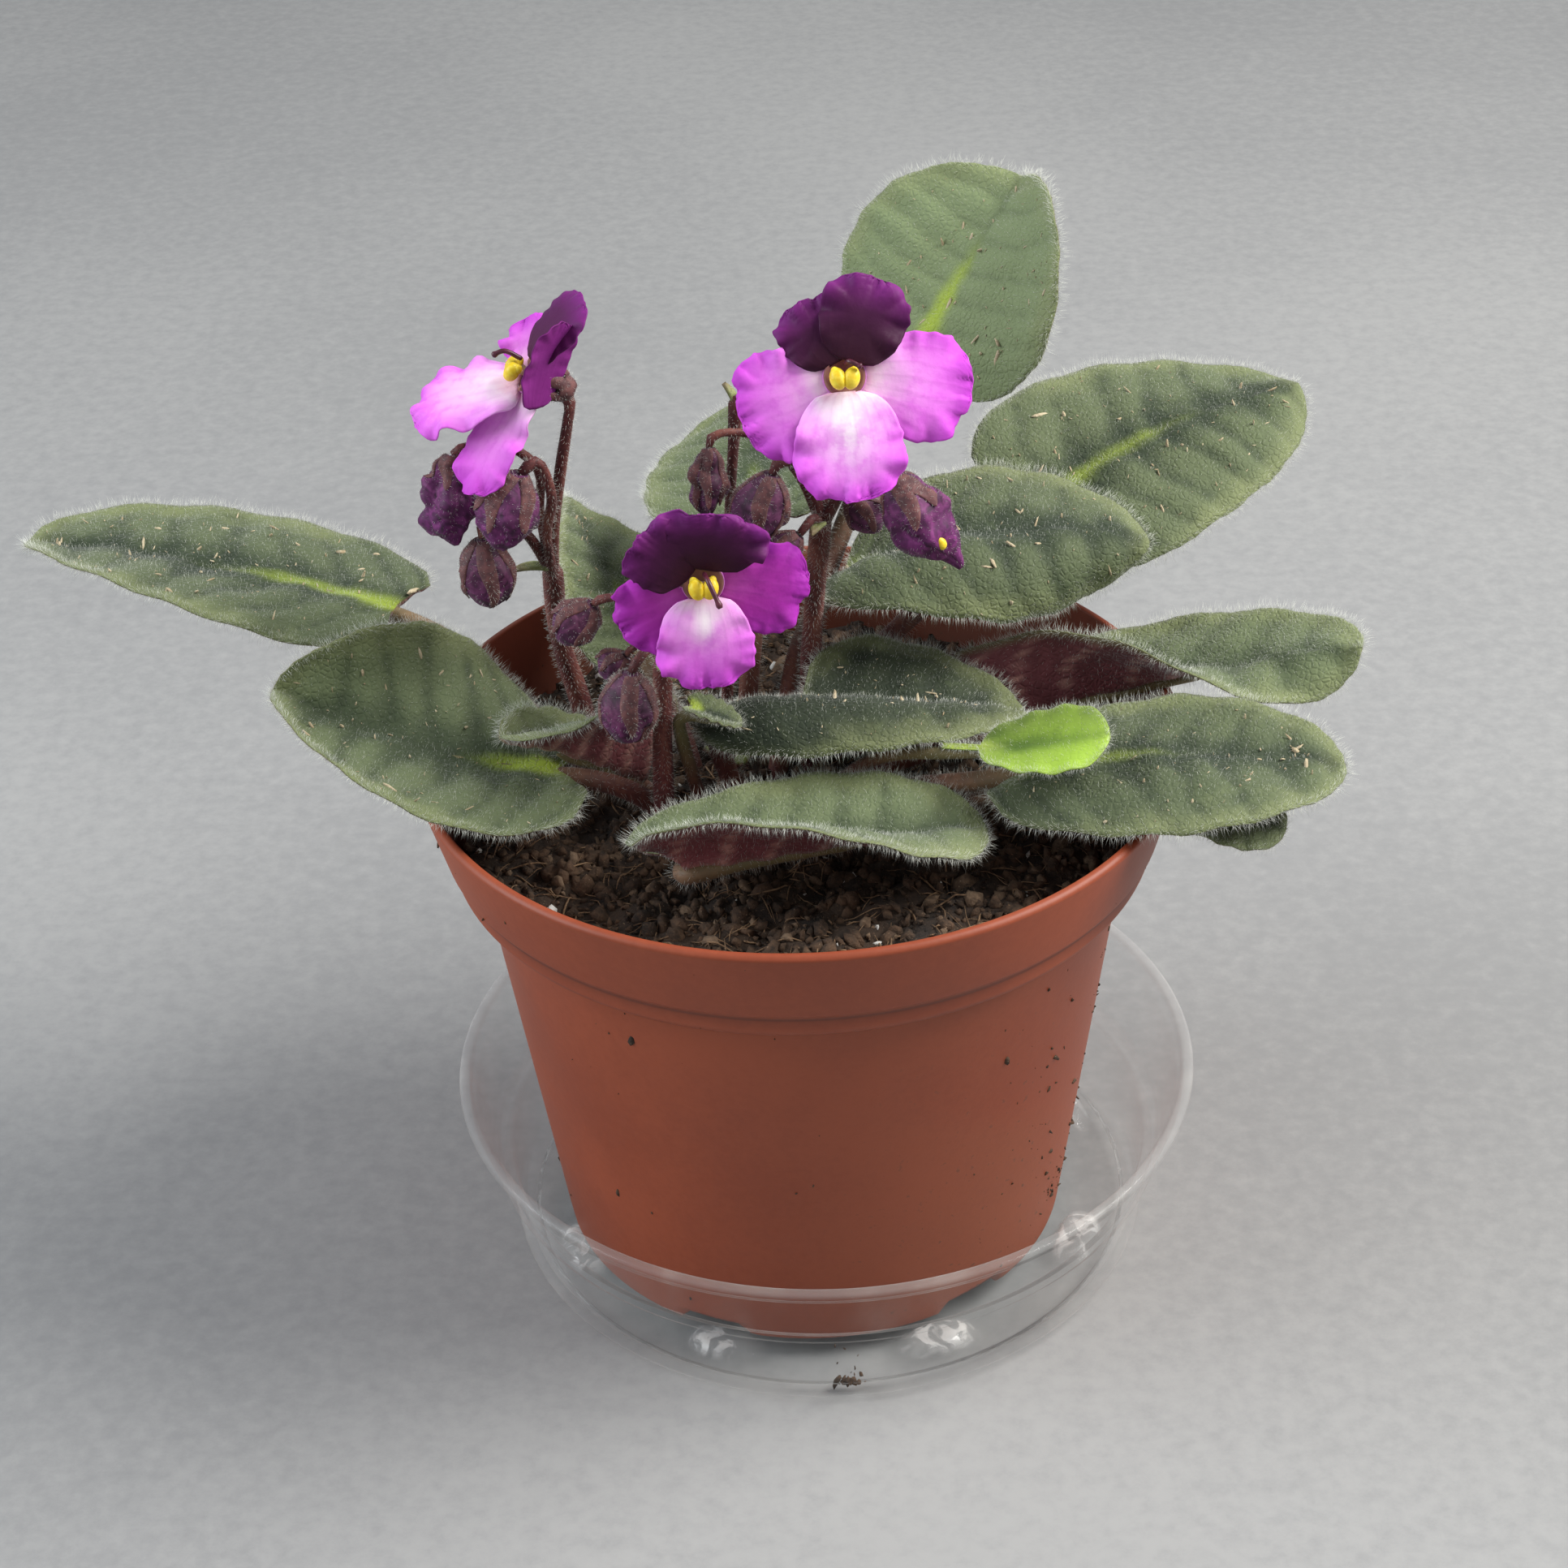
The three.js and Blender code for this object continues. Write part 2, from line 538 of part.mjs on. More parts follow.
// A point of the blade: along from 0 at the base to 1 at the tip, across from -1 to 1.
function bladePoint(leaf, along, across) {
  const toRight = across >= 0;
  const out = Math.abs(across);
  const { forward, right, up } = bladeAxes(leaf, along);
  const fold = mix(toRight ? leaf.foldRight : leaf.foldLeft, along) * degrees;
  const curl = mix(toRight ? leaf.curlRight : leaf.curlLeft, along) * degrees;
  const reach = halfWidth(leaf, along, toRight);
  const [side, height] = halfSection(out, fold, curl);
  const lobe = leaf.length * leaf.lobe * (1 - along) ** 3 * out * out * (3 - 2 * out);
  const wave =
    (leaf.wave ?? blade.waveHeight) *
    out ** 3 *
    Math.sin(2 * Math.PI * ((leaf.waves ?? blade.waves) * along + blade.wavePhase * Math.sign(across)));
  return midribPoint(leaf, along)
    .addScaledVector(forward, -lobe)
    .addScaledVector(right, (toRight ? side : -side) * reach)
    .addScaledVector(up, height * reach + wave * Math.min(1, reach / blade.waveFrom));
}

// Normal of the blade's upper face.
function bladeNormal(leaf, along, across) {
  const step = blade.normalStep;
  const before = Math.max(0, along - step);
  const after = Math.min(1 - step / 2, along + step);
  const lengthwise = bladePoint(leaf, after, across).sub(bladePoint(leaf, before, across));
  const crosswise = bladePoint(leaf, Math.min(along, 1 - step), Math.min(1, across + step)).sub(
    bladePoint(leaf, Math.min(along, 1 - step), Math.max(-1, across - step)),
  );
  return crosswise.cross(lengthwise).normalize();
}

// The blade as one closed thin body, both faces split into triangles the same way.
function bladeGeometry(leaf, rows, columns) {
  const positions = [];
  const faces = [];
  const stride = columns + 1;
  const faceSize = (rows + 1) * stride;
  [1, -1].forEach((side) => {
    for (let k = 0; k <= rows; k += 1) {
      const along = 1 - (1 - k / rows) ** blade.crowding;
      for (let i = 0; i <= columns; i += 1) {
        const across = -1 + (2 * i) / columns;
        const thick =
          mix([leaf.thick ?? blade.midribThickness, blade.marginThickness], Math.abs(across));
        const point = bladePoint(leaf, along, across).addScaledVector(
          bladeNormal(leaf, along, k === rows ? 0 : across),
          (side * thick) / 2,
        );
        positions.push(point.x, point.y, point.z);
      }
    }
  });
  const quad = (a, b, c, d) => faces.push(a, b, c, a, c, d);
  for (let k = 0; k < rows; k += 1) {
    for (let i = 0; i < columns; i += 1) {
      const a = k * stride + i;
      quad(a, a + 1, a + stride + 1, a + stride);
      const b = a + faceSize;
      faces.push(b, b + stride + 1, b + 1, b, b + stride, b + stride + 1);
    }
    const left = k * stride;
    quad(left, left + stride, left + stride + faceSize, left + faceSize);
    const right = left + columns;
    quad(right + faceSize, right + stride + faceSize, right + stride, right);
  }
  for (let i = 0; i < columns; i += 1) quad(i + 1, i, i + faceSize, i + 1 + faceSize);
  const geometry = new THREE.BufferGeometry();
  geometry.setAttribute("position", new THREE.Float32BufferAttribute(positions, 3));
  geometry.setIndex(faces);
  return geometry;
}

// The leaf's stalk: up out of the soil, over to the blade and on under it as the midrib's ridge.
function leafStalkCurve(leaf) {
  const root = new THREE.Vector3(leaf.root[0], leaf.root[1], soil.level - soil.hole);
  const { forward, up } = bladeAxes(leaf, 0);
  const base = new THREE.Vector3(...leaf.base).addScaledVector(up, -leafStalk.sink);
  const span = base.clone().sub(root);
  const reach = span.length();
  const outward = new THREE.Vector3(span.x, span.y, 0)
    .multiplyScalar(leaf.outward ?? leafStalk.outward);
  const upward = Math.min((leaf.upward ?? leafStalk.upward) * reach, leafStalk.steepest * span.z);
  const rising = new THREE.Vector3(0, 0, upward).add(outward);
  const arrival = (leaf.arriving ?? leafStalk.arriving) * reach;
  const arriving = forward
    .clone()
    .multiplyScalar(Math.min(arrival, leafStalk.arrivingMost * leaf.length));
  const flight = new THREE.CubicBezierCurve3(
    root,
    root.clone().add(rising),
    base.clone().sub(arriving),
    base,
  );
  const points = [0, 0.2, 0.4, 0.6, 0.8, 1].map((along) => flight.getPoint(along));
  leafStalk.ridgeAt.forEach((along) => {
    const { up: over } = bladeAxes(leaf, along);
    points.push(midribPoint(leaf, along).addScaledVector(over, -leafStalk.ridge));
  });
  return new THREE.CatmullRomCurve3(points);
}

function leafRadius(leaf) {
  return leaf.small ? leafStalk.smallShare * leafStalk.radius : leafStalk.radius;
}

function leafRod(leaf, extra) {
  const curve = leafStalkCurve(leaf);
  const thinFrom = 1 - (leafStalk.thinOver * leaf.length) / curve.getLength();
  const radiusAt = (along) => {
    const thinning = Math.max(0, (along - thinFrom) / (1 - thinFrom));
    return leafRadius(leaf) * (1 - leafStalk.thinning * thinning) + extra;
  };
  return solid(rod(curve, radiusAt, leafStalk.sides, leafStalk.steps));
}

function leafSolid(leaf) {
  const rows = leaf.small ? blade.smallRows : blade.rows;
  const columns = leaf.small ? blade.smallColumns : blade.columns;
  return solid(bladeGeometry(leaf, rows, columns)).add(leafRod(leaf, 0));
}

// ---- flower stalks, buds and blooms ----

const vector = (point) => new THREE.Vector3(...point);

// A short pointed blade, for bracts and sepals.
function smallBlade(base, heading, rise, length, width) {
  const shape = { ...bractForm, base, length, width, heading: [heading, 0], rise: [rise, -25] };
  return solid(bladeGeometry(shape, bractForm.rows, bractForm.columns));
}

// The matrix that turns +Z to a direction, with +Y as nearly upwards as it can be, and sets the place.
function facing(place, direction) {
  const front = direction.clone().normalize();
  const right = new THREE.Vector3(0, 0, 1).cross(front);
  if (right.length() < 0.05) right.set(1, 0, 0);
  right.normalize();
  const upright = new THREE.Vector3().crossVectors(front, right);
  return new THREE.Matrix4().makeBasis(right, upright, front).setPosition(place);
}

function crownProfile(extra) {
  const foot = soil.level - soil.hole - extra;
  return [
    [0, foot],
    [crown.narrowing * crown.radius + extra, foot],
    [crown.radius + extra, soil.level],
    [crown.narrowing * crown.radius + extra, crown.top - 1 + extra],
    [0, crown.top + extra],
  ];
}

function crownPart(extra) {
  const [x, y] = crown.centre;
  return solid(turned(crownProfile(extra), crown.sides).translate(x, y, 0));
}

function crownSolid() {
  const [x, y] = crown.centre;
  const sprouts = crown.sprouts.map(({ heading, rise, length }) =>
    smallBlade([x, y, crown.top - 1.5], heading, rise, length, bractForm.slender * length),
  );
  return join([crownPart(0), ...sprouts]);
}

// A calyx at the end of a side stalk: a small cup under the flower.
function calyxSolid(place, direction) {
  const { size, mouth, foot, depth, sides } = calyx;
  const cup = new THREE.CylinderGeometry(mouth * size, foot * size, depth * size, sides);
  cup.rotateX(Math.PI / 2).translate(0, 0, -0.5 * depth * size - gap);
  return solid(cup.applyMatrix4(facing(place, direction)));
}

function stalkSolid(name) {
  const parts = stalks[name].map(({ through, radius, bloom, bud }) => {
    const points = through.map(vector);
    let end = null;
    if (bloom) end = bloomBack(blooms[bloom]);
    if (bud) end = vector(buds[bud].base);
    if (end) {
      const arriving = end.clone().sub(points[points.length - 1]);
      points.push(end.clone().addScaledVector(arriving.normalize(), bud ? -3 * gap : -gap));
    }
    const curve = new THREE.CatmullRomCurve3(points);
    const main = radius[0] > stalkForm.mainOver;
    const sides = main ? stalkForm.mainSides : stalkForm.sideSides;
    const step = main ? stalkForm.mainStep : stalkForm.sideStep;
    const steps = Math.max(3, Math.round(curve.getLength() / step));
    return solid(rod(curve, (along) => mix(radius, along), sides, steps));
  });
  stalks[name].forEach(({ bloom }) => {
    if (bloom) parts.push(calyxSolid(bloomBack(blooms[bloom]), bloomFront(blooms[bloom])));
  });
  bracts[name].forEach(({ base, heading, rise, length }) => {
    parts.push(smallBlade(base, heading, rise, length, bractForm.slender * length));
  });
  return join(parts);
}

// A bud: round, a little pointed, with five sepals as ridges down it.
function budSolid({ base, tip, radius, crumple }) {
  const start = vector(base);
  const axis = vector(tip).sub(start);
  const length = axis.length();
  const frame = facing(start, axis);
  const rings = [];
  const { sides, levels, ends, fullness, ridges, ridgeHeight } = budForm;
  for (let k = 0; k <= levels; k += 1) {
    const along = k / levels;
    const belly = Math.sin(Math.PI * (ends + (1 - 2 * ends) * along)) ** fullness;
    const ring = [];
    for (let i = 0; i < sides; i += 1) {
      const turn = (2 * Math.PI * i) / sides;
      const ridge = 1 + ridgeHeight * Math.cos(ridges * turn) * (1 - along);
      const dent = 1 + crumple * Math.sin(3 * turn + 7 * along) * Math.cos(2 * turn - 9 * along);
      const reach = radius * belly * ridge * dent;
      ring.push(
        new THREE.Vector3(reach * Math.cos(turn), reach * Math.sin(turn), length * along)
          .applyMatrix4(frame),
      );
    }
    rings.push(ring);
  }
  return solid(closedRings(rings));
}

function bloomFront({ azimuth, elevation }) {
  return new THREE.Vector3(
    Math.cos(elevation * degrees) * Math.cos(azimuth * degrees),
    Math.cos(elevation * degrees) * Math.sin(azimuth * degrees),
    Math.sin(elevation * degrees),
  );
}

function bloomBack(bloom) {
  return vector(bloom.throat).addScaledVector(bloomFront(bloom), -corolla.tubeLength);
}

function bloomFrame(bloom) {
  return facing(vector(bloom.throat), bloomFront(bloom));
}

// The five lobes spread from a short tube. In the bloom's own frame +X is its right and +Z its front.
function corollaSolid(bloom) {
  const frame = bloomFrame(bloom);
  const parts = Object.values(bloom.lobes).map(({ turn, length, width, lean, layer, roll, foot }) => {
    const ring = [
      corolla.start * Math.cos(turn * degrees),
      corolla.start * Math.sin(turn * degrees),
    ];
    const petal = {
      ...petalForm,
      base: [...(foot ?? ring), layer],
      length: length - corolla.start,
      width,
      heading: [turn, 0],
      rise: [lean + corolla.archAtStart, corolla.archBack],
      roll: roll ?? petalForm.roll,
    };
    return solid(bladeGeometry(petal, corolla.rows, corolla.columns).applyMatrix4(frame));
  });
  const c = corolla;
  const tube = turned(
    [
      [0, -c.tubeLength + gap],
      [c.tubeRadius, -c.tubeLength + gap],
      [c.tubeRadius + c.tubeFlare, -0.5 * c.tubeLength],
      [c.throatRadius, 0],
      [c.throatRadius - c.tubeFlare, c.throatRise],
      [0.5 * c.throatRadius, 0],
      [0, -c.throatDip],
    ],
    c.tubeSides,
  );
  parts.push(solid(tube.applyMatrix4(frame)));
  return join(parts);
}

// Two anthers side by side on short filaments.
function stamensSolid(bloom) {
  const frame = bloomFrame(bloom);
  const parts = [-0.5, 0.5].map((side) => {
    const head = new THREE.SphereGeometry(anther.radius, anther.sides, anther.levels);
    const end = new THREE.Vector3(side * anther.apart, anther.drop, anther.forward);
    head.scale(1, anther.length / (2 * anther.radius), 1);
    head.rotateZ(-anther.splay * side);
    head.translate(end.x, end.y, end.z);
    const filament = new THREE.CatmullRomCurve3([
      new THREE.Vector3(0.3 * side, 0.5 * anther.drop, 0.2),
      new THREE.Vector3(0.6 * end.x, 0.5 * anther.drop, 0.6 * end.z),
      end,
    ]);
    const thread = rod(filament, () => anther.filament, 4, 2);
    return solid(head.applyMatrix4(frame)).add(solid(thread.applyMatrix4(frame)));
  });
  return join(parts);
}

function styleSolid(bloom) {
  const tip = vector(bloom.styleTip);
  const { rootUp, rootForward } = style;
  const curve = new THREE.CatmullRomCurve3([
    new THREE.Vector3(0.1 * tip.x, rootUp, rootForward),
    new THREE.Vector3(0.3 * tip.x, rootUp + 0.2 * tip.y, 0.6 * (tip.z + rootForward)),
    tip,
  ]);
  const thread = rod(curve, () => style.radius, style.sides, style.steps);
  return solid(thread.applyMatrix4(bloomFrame(bloom)));
}

// ---- pot, saucer and soil ----

function potSolid() {
  const p = pot;
  const inner = p.wall;
  const r = p.lip;
  const shell = turned(
    [
      [0, p.floor - inner],
      [p.baseRadius - 2 * inner, p.floor - inner],
      [p.baseRadius - inner, p.base],
      [p.baseRadius, p.base],
      [p.wallTop, p.stepFoot - r],
      [p.stepRadius - 2 * r, p.stepFoot],
      [p.stepRadius, p.stepFoot + 2 * r],
      [p.bandRadius - r - gap, p.bandFoot - r],
      [p.bandRadius - r, p.bandFoot],
      [p.bandRadius, p.bandFoot + r],
      [p.rimRadius, p.top - r],
      [p.rimRadius - r, p.top],
      [p.rimRadius - inner - gap, p.top],
      [p.bandRadius - inner - gap, p.bandFoot + r],
      [p.stepRadius - inner - gap, p.stepFoot + 2 * r],
      [p.wallTop - inner, p.stepFoot - r],
      [p.baseRadius - inner, p.floor],
      [0, p.floor],
    ],
    p.segments,
  );
  const notch = new THREE.BoxGeometry(p.notchDepth, p.notchWidth, 2 * p.notchHeight);
  notch.translate(p.baseRadius - 1, 0, p.base);
  let whole = solid(shell);
  for (let k = 0; k < p.notches; k += 1) {
    const turn = p.notchTurn * degrees + (k * 2 * Math.PI) / p.notches;
    whole = whole.subtract(solid(notch.clone().rotateZ(turn)));
  }
  return whole;
}

function saucerSolid() {
  const s = saucer;
  const t = s.wall;
  const c = s.corner;
  const shell = turned(
    [
      [0, 0],
      [s.footRadius - c, 0],
      [s.footRadius, c],
      [s.ledgeRadius, s.ledge],
      [s.ledgeRadius + c, s.ledge + 0.75 * c],
      [s.rimRadius - 0.9 * s.lip, s.top - 1.2 * s.lip],
      [s.rimRadius - 0.2 * s.lip, s.top - s.lip],
      [s.rimRadius, s.top - 0.5 * s.lip],
      [s.rimRadius - 0.3 * s.lip, s.top],
      [s.rimRadius - s.lip, s.top],
      [s.rimRadius - 0.9 * s.lip - t, s.top - 0.9 * s.lip],
      [s.ledgeRadius + c - t + gap, s.ledge + c],
      [s.ledgeRadius - t - gap, s.ledge + 0.5 * c],
      [s.footRadius - t, s.floor + c],
      [s.footRadius - t - c, s.floor],
      [0, s.floor],
    ],
    s.segments,
  );
  const padTop = pot.base - gap;
  const height = padTop - 0.5 * s.floor;
  const pad = new THREE.CylinderGeometry(0.5, 0.5 + s.padFlare, height, s.padSides);
  pad.rotateX(Math.PI / 2);
  pad.scale(s.padWidth, s.padLength, 1);
  pad.translate(s.padRadius, 0, padTop - 0.5 * height);
  const pads = [];
  for (let k = 0; k < s.pads; k += 1) {
    pads.push(solid(pad.clone().rotateZ(s.padTurn * degrees + (k * 2 * Math.PI) / s.pads)));
  }
  return join([solid(shell), ...pads]).translate([s.centre[0], s.centre[1], 0]);
}

// Height of the soil's top: a slight fall to the wall and lumps of several sizes.
function soilHeight(x, y) {
  const lumps = soil.lumps.reduce(
    (sum, lump) => sum + lump.height * Math.sin(lump.x * x + lump.y * y + lump.phase),
    0,
  );
  const away = Math.hypot(x, y) / pot.wallTop;
  return soil.level + 0.5 * soil.relief * lumps - soil.fall * away ** 4;
}

function soilSolid() {
  const wallAt = (height) =>
    mix([pot.baseRadius, pot.wallTop], (height - pot.base) / (pot.stepFoot - pot.base));
  const clear = pot.wall + soil.clearance;
  const floor = pot.floor + gap;
  const bend = 4; // how far above and below the pot's step the soil's side bends
  const outer = pot.stepRadius - clear - 2 * gap;
  const profile = [
    [0, floor],
    [pot.baseRadius - clear - gap, floor],
    [wallAt(pot.stepFoot - bend) - clear, pot.stepFoot - bend],
    [wallAt(pot.stepFoot) - clear - 2 * gap, pot.stepFoot],
    [outer, pot.stepFoot + bend],
    [outer, pot.bandFoot + gap],
  ];
  for (let k = soil.rings - 1; k >= 0; k -= 1) {
    profile.push([(outer * k) / soil.rings, soil.level]);
  }
  const geometry = turned(profile, soil.segments);
  const position = geometry.attributes.position;
  for (let i = 0; i < position.count; i += 1) {
    if (Math.abs(position.getZ(i) - soil.level) < 1e-6) {
      position.setZ(i, soilHeight(position.getX(i), position.getY(i)));
    }
  }
  return solid(geometry);
}

// ---- assembly ----

const violet = new THREE.Group();
const shapes = new Map();
const finishes = new Map();

function keep(name, shape, material) {
  shapes.set(name, shape);
  finishes.set(name, material);
}

keep("saucer", saucerSolid(), clearPlastic);
keep("pot", potSolid(), terracotta);
let ground = soilSolid();
Object.entries(leaves).forEach(([name, leaf]) => {
  ground = ground.subtract(leafRod(leaf, gap));
  keep(name, leafSolid(leaf), name === "leaf_young_bright" ? youngGreen : leafGreen);
});
Object.keys(stalks).forEach((name) => {
  const main = stalks[name][0];
  const curve = new THREE.CatmullRomCurve3(main.through.map(vector));
  const { holeSides } = soil;
  ground = ground.subtract(solid(rod(curve, () => main.radius[0] + gap, holeSides, holeSides)));
  keep(name, stalkSolid(name), stalkBrown);
});
Object.entries(buds).forEach(([name, bud]) => keep(name, budSolid(bud), budPurple));
Object.entries(blooms).forEach(([name, bloom]) => {
  keep(name, corollaSolid(bloom), petalPink);
  keep(name.replace("bloom", "stamens"), stamensSolid(bloom), antherYellow);
  keep(name.replace("bloom", "style"), styleSolid(bloom), styleMaroon);
});
ground = ground.subtract(crownPart(gap));
keep("crown", crownSolid(), youngGreen);
keep("soil", ground, darkSoil);

shapes.forEach((shape, name) => violet.add(pieceOf(name, shape, finishes.get(name))));

export default violet;
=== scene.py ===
import math

import bpy
import numpy as np
from mathutils import Matrix, Vector, noise


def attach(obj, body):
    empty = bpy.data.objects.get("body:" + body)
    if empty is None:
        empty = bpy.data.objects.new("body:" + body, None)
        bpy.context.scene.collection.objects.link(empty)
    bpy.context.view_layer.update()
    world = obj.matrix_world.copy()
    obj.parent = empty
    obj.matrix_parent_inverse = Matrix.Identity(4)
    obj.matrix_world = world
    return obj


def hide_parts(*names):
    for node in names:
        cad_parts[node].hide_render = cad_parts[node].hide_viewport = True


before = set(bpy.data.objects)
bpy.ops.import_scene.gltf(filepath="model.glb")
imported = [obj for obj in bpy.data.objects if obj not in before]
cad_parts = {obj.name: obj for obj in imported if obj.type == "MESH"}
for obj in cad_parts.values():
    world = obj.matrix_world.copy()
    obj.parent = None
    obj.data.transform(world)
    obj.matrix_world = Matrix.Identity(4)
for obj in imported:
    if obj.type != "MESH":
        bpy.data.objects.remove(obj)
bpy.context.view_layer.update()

scene = bpy.context.scene
mm = 0.001  # every length below is in millimetres, and becomes metres when a mesh is made


# one socket of a node tree: plain arithmetic on it adds Math nodes
class Wire:
    def __init__(self, plan, socket):
        self.plan = plan
        self.socket = socket

    def math(self, kind, *values):
        return self.plan.node("ShaderNodeMath", {"operation": kind}, dict(enumerate(values)))

    def __add__(self, other):
        return self.math("ADD", self, other)

    def __sub__(self, other):
        return self.math("SUBTRACT", self, other)

    def __mul__(self, other):
        return self.math("MULTIPLY", self, other)

    def __pow__(self, other):
        return self.math("POWER", self, other)


# a node tree under construction
class Plan:
    def __init__(self, tree):
        self.tree = tree

    # adds a node: its settings first (a ramp's stops too), then values or links into its sockets
    def node(self, kind, settings=None, sockets=None, output=0):
        made = self.tree.nodes.new(kind)
        for key, value in (settings or {}).items():
            if key == "stops":
                ramp = made.color_ramp
                while len(ramp.elements) > 1:
                    ramp.elements.remove(ramp.elements[-1])
                for number, (place, colour) in enumerate(value):
                    stop = ramp.elements[0] if number == 0 else ramp.elements.new(place)
                    stop.position = place
                    stop.color = (*colour, 1)
            else:
                setattr(made, key, value)
        for key, value in (sockets or {}).items():
            socket = made.inputs[key]
            if isinstance(value, Wire):
                self.tree.links.new(value.socket, socket)
            else:
                socket.default_value = value
        return Wire(self, made.outputs[output]) if made.outputs else None


# a material under construction
class Finish(Plan):
    def __init__(self, name):
        self.material = bpy.data.materials.new(name)
        self.material.use_nodes = True
        super().__init__(self.material.node_tree)
        self.tree.nodes.clear()
        self.place = self.node("ShaderNodeTexCoord", output=3)

    def shade(self, name):  # a number that the mesh carries at its points
        return self.node("ShaderNodeAttribute", {"attribute_name": name}, output=2)

    def grain(self, scale, detail=3, stretch=None, warp=0, rough=0.5):
        place = self.place
        if stretch:
            place = self.node("ShaderNodeVectorMath", {"operation": "MULTIPLY"}, {0: place, 1: stretch})
        return self.node(
            "ShaderNodeTexNoise",
            None,
            {"Vector": place, "Scale": scale, "Detail": detail, "Distortion": warp, "Roughness": rough},
        )

    def between(self, value, low, high):  # 0 under low, 1 over high, smooth between
        return self.node(
            "ShaderNodeMapRange",
            {"interpolation_type": "SMOOTHSTEP"},
            {"Value": value, "From Min": low, "From Max": high},
        )

    def mix(self, share, first, second):
        first, second = ((*c, 1) if isinstance(c, tuple) else c for c in (first, second))
        return self.node(
            "ShaderNodeMix",
            {"data_type": "RGBA", "clamp_factor": True},
            {0: share, 6: first, 7: second},
            output=2,
        )

    def ramp(self, value, stops):
        return self.node("ShaderNodeValToRGB", {"stops": stops}, {"Fac": value})

    def bump(self, height, strength, distance):
        return self.node(
            "ShaderNodeBump", None, {"Height": height, "Strength": strength, "Distance": distance * mm}
        )

    def surface(self, **sockets):
        named = {key.replace("_", " "): value for key, value in sockets.items()}
        return self.node("ShaderNodeBsdfPrincipled", None, named)

    def done(self, shader):
        self.node("ShaderNodeOutputMaterial", None, {"Surface": shader})
        return self.material

    def coat(self, **sockets):  # the whole material from one principled shader
        return self.done(self.surface(**sockets))


# a Geometry Nodes tree under construction, with named inputs
class Growth(Plan):
    def __init__(self, name, inputs):
        super().__init__(bpy.data.node_groups.new(name, "GeometryNodeTree"))
        face = self.tree.interface
        face.new_socket("Geometry", in_out="INPUT", socket_type="NodeSocketGeometry")
        face.new_socket("Geometry", in_out="OUTPUT", socket_type="NodeSocketGeometry")
        self.keys = {}
        for label, kind in inputs.items():
            socket = face.new_socket(label, in_out="INPUT", socket_type="NodeSocket" + kind)
            self.keys[label] = socket.identifier
        self.entry = self.tree.nodes.new("NodeGroupInput")

    def input(self, label):
        return Wire(self, self.entry.outputs[label])

    def attribute(self, name):
        return self.node("GeometryNodeInputNamedAttribute", {"data_type": "FLOAT"}, {"Name": name})

    # random numbers between two ends, one for each point
    def chance(self, low, high, shift):
        sockets = {2: low, 3: high, "Seed": self.input("Seed") + shift}
        return self.node("FunctionNodeRandomValue", {"data_type": "FLOAT"}, sockets, 1)

    def chances(self, low, high, shift):
        sockets = {0: low, 1: high, "Seed": self.input("Seed") + shift}
        return self.node("FunctionNodeRandomValue", {"data_type": "FLOAT_VECTOR"}, sockets)

    def vector(self, operation, first, second):
        key = "Scale" if operation == "SCALE" else 1
        return self.node("ShaderNodeVectorMath", {"operation": operation}, {0: first, key: second})

    # points spread over the surface, as dense as an attribute of it says
    def scatter(self, share):
        spots = self.tree.nodes.new("GeometryNodeDistributePointsOnFaces")
        dense = share * self.input("Density")
        sockets = {"Mesh": self.input("Geometry"), "Density": dense, "Seed": self.input("Seed")}
        for key, wire in sockets.items():
            self.tree.links.new(wire.socket, spots.inputs[key])
        return Wire(self, spots.outputs["Points"]), Wire(self, spots.outputs["Normal"])

    # a copy of one small solid at each point, as real mesh
    def copies(self, points, solid, turn, size):
        sockets = {"Points": points, "Instance": solid, "Rotation": turn, "Scale": size}
        placed = self.node("GeometryNodeInstanceOnPoints", None, sockets)
        return self.node("GeometryNodeRealizeInstances", None, {"Geometry": placed})

    def dressed(self, geometry):
        sockets = {"Geometry": geometry, "Material": self.input("Finish")}
        return self.done(self.node("GeometryNodeSetMaterial", None, sockets))

    def done(self, geometry):
        self.node("NodeGroupOutput", None, {"Geometry": geometry})
        return self


# runs a growth over a surface and keeps what it makes as a plain mesh object
def growOver(name, surface, growth, values):
    holder = bpy.data.objects.new(name + "_holder", surface.data)
    scene.collection.objects.link(holder)
    modifier = holder.modifiers.new("growth", "NODES")
    modifier.node_group = growth.tree
    for label, value in values.items():
        modifier[growth.keys[label]] = value
    graph = bpy.context.evaluated_depsgraph_get()
    mesh = bpy.data.meshes.new_from_object(holder.evaluated_get(graph), depsgraph=graph)
    holder.modifiers.remove(modifier)
    bpy.data.objects.remove(holder)
    mesh.name = name
    mesh.polygons.foreach_set("use_smooth", [True] * len(mesh.polygons))
    made = bpy.data.objects.new(name, mesh)
    scene.collection.objects.link(made)
    return made


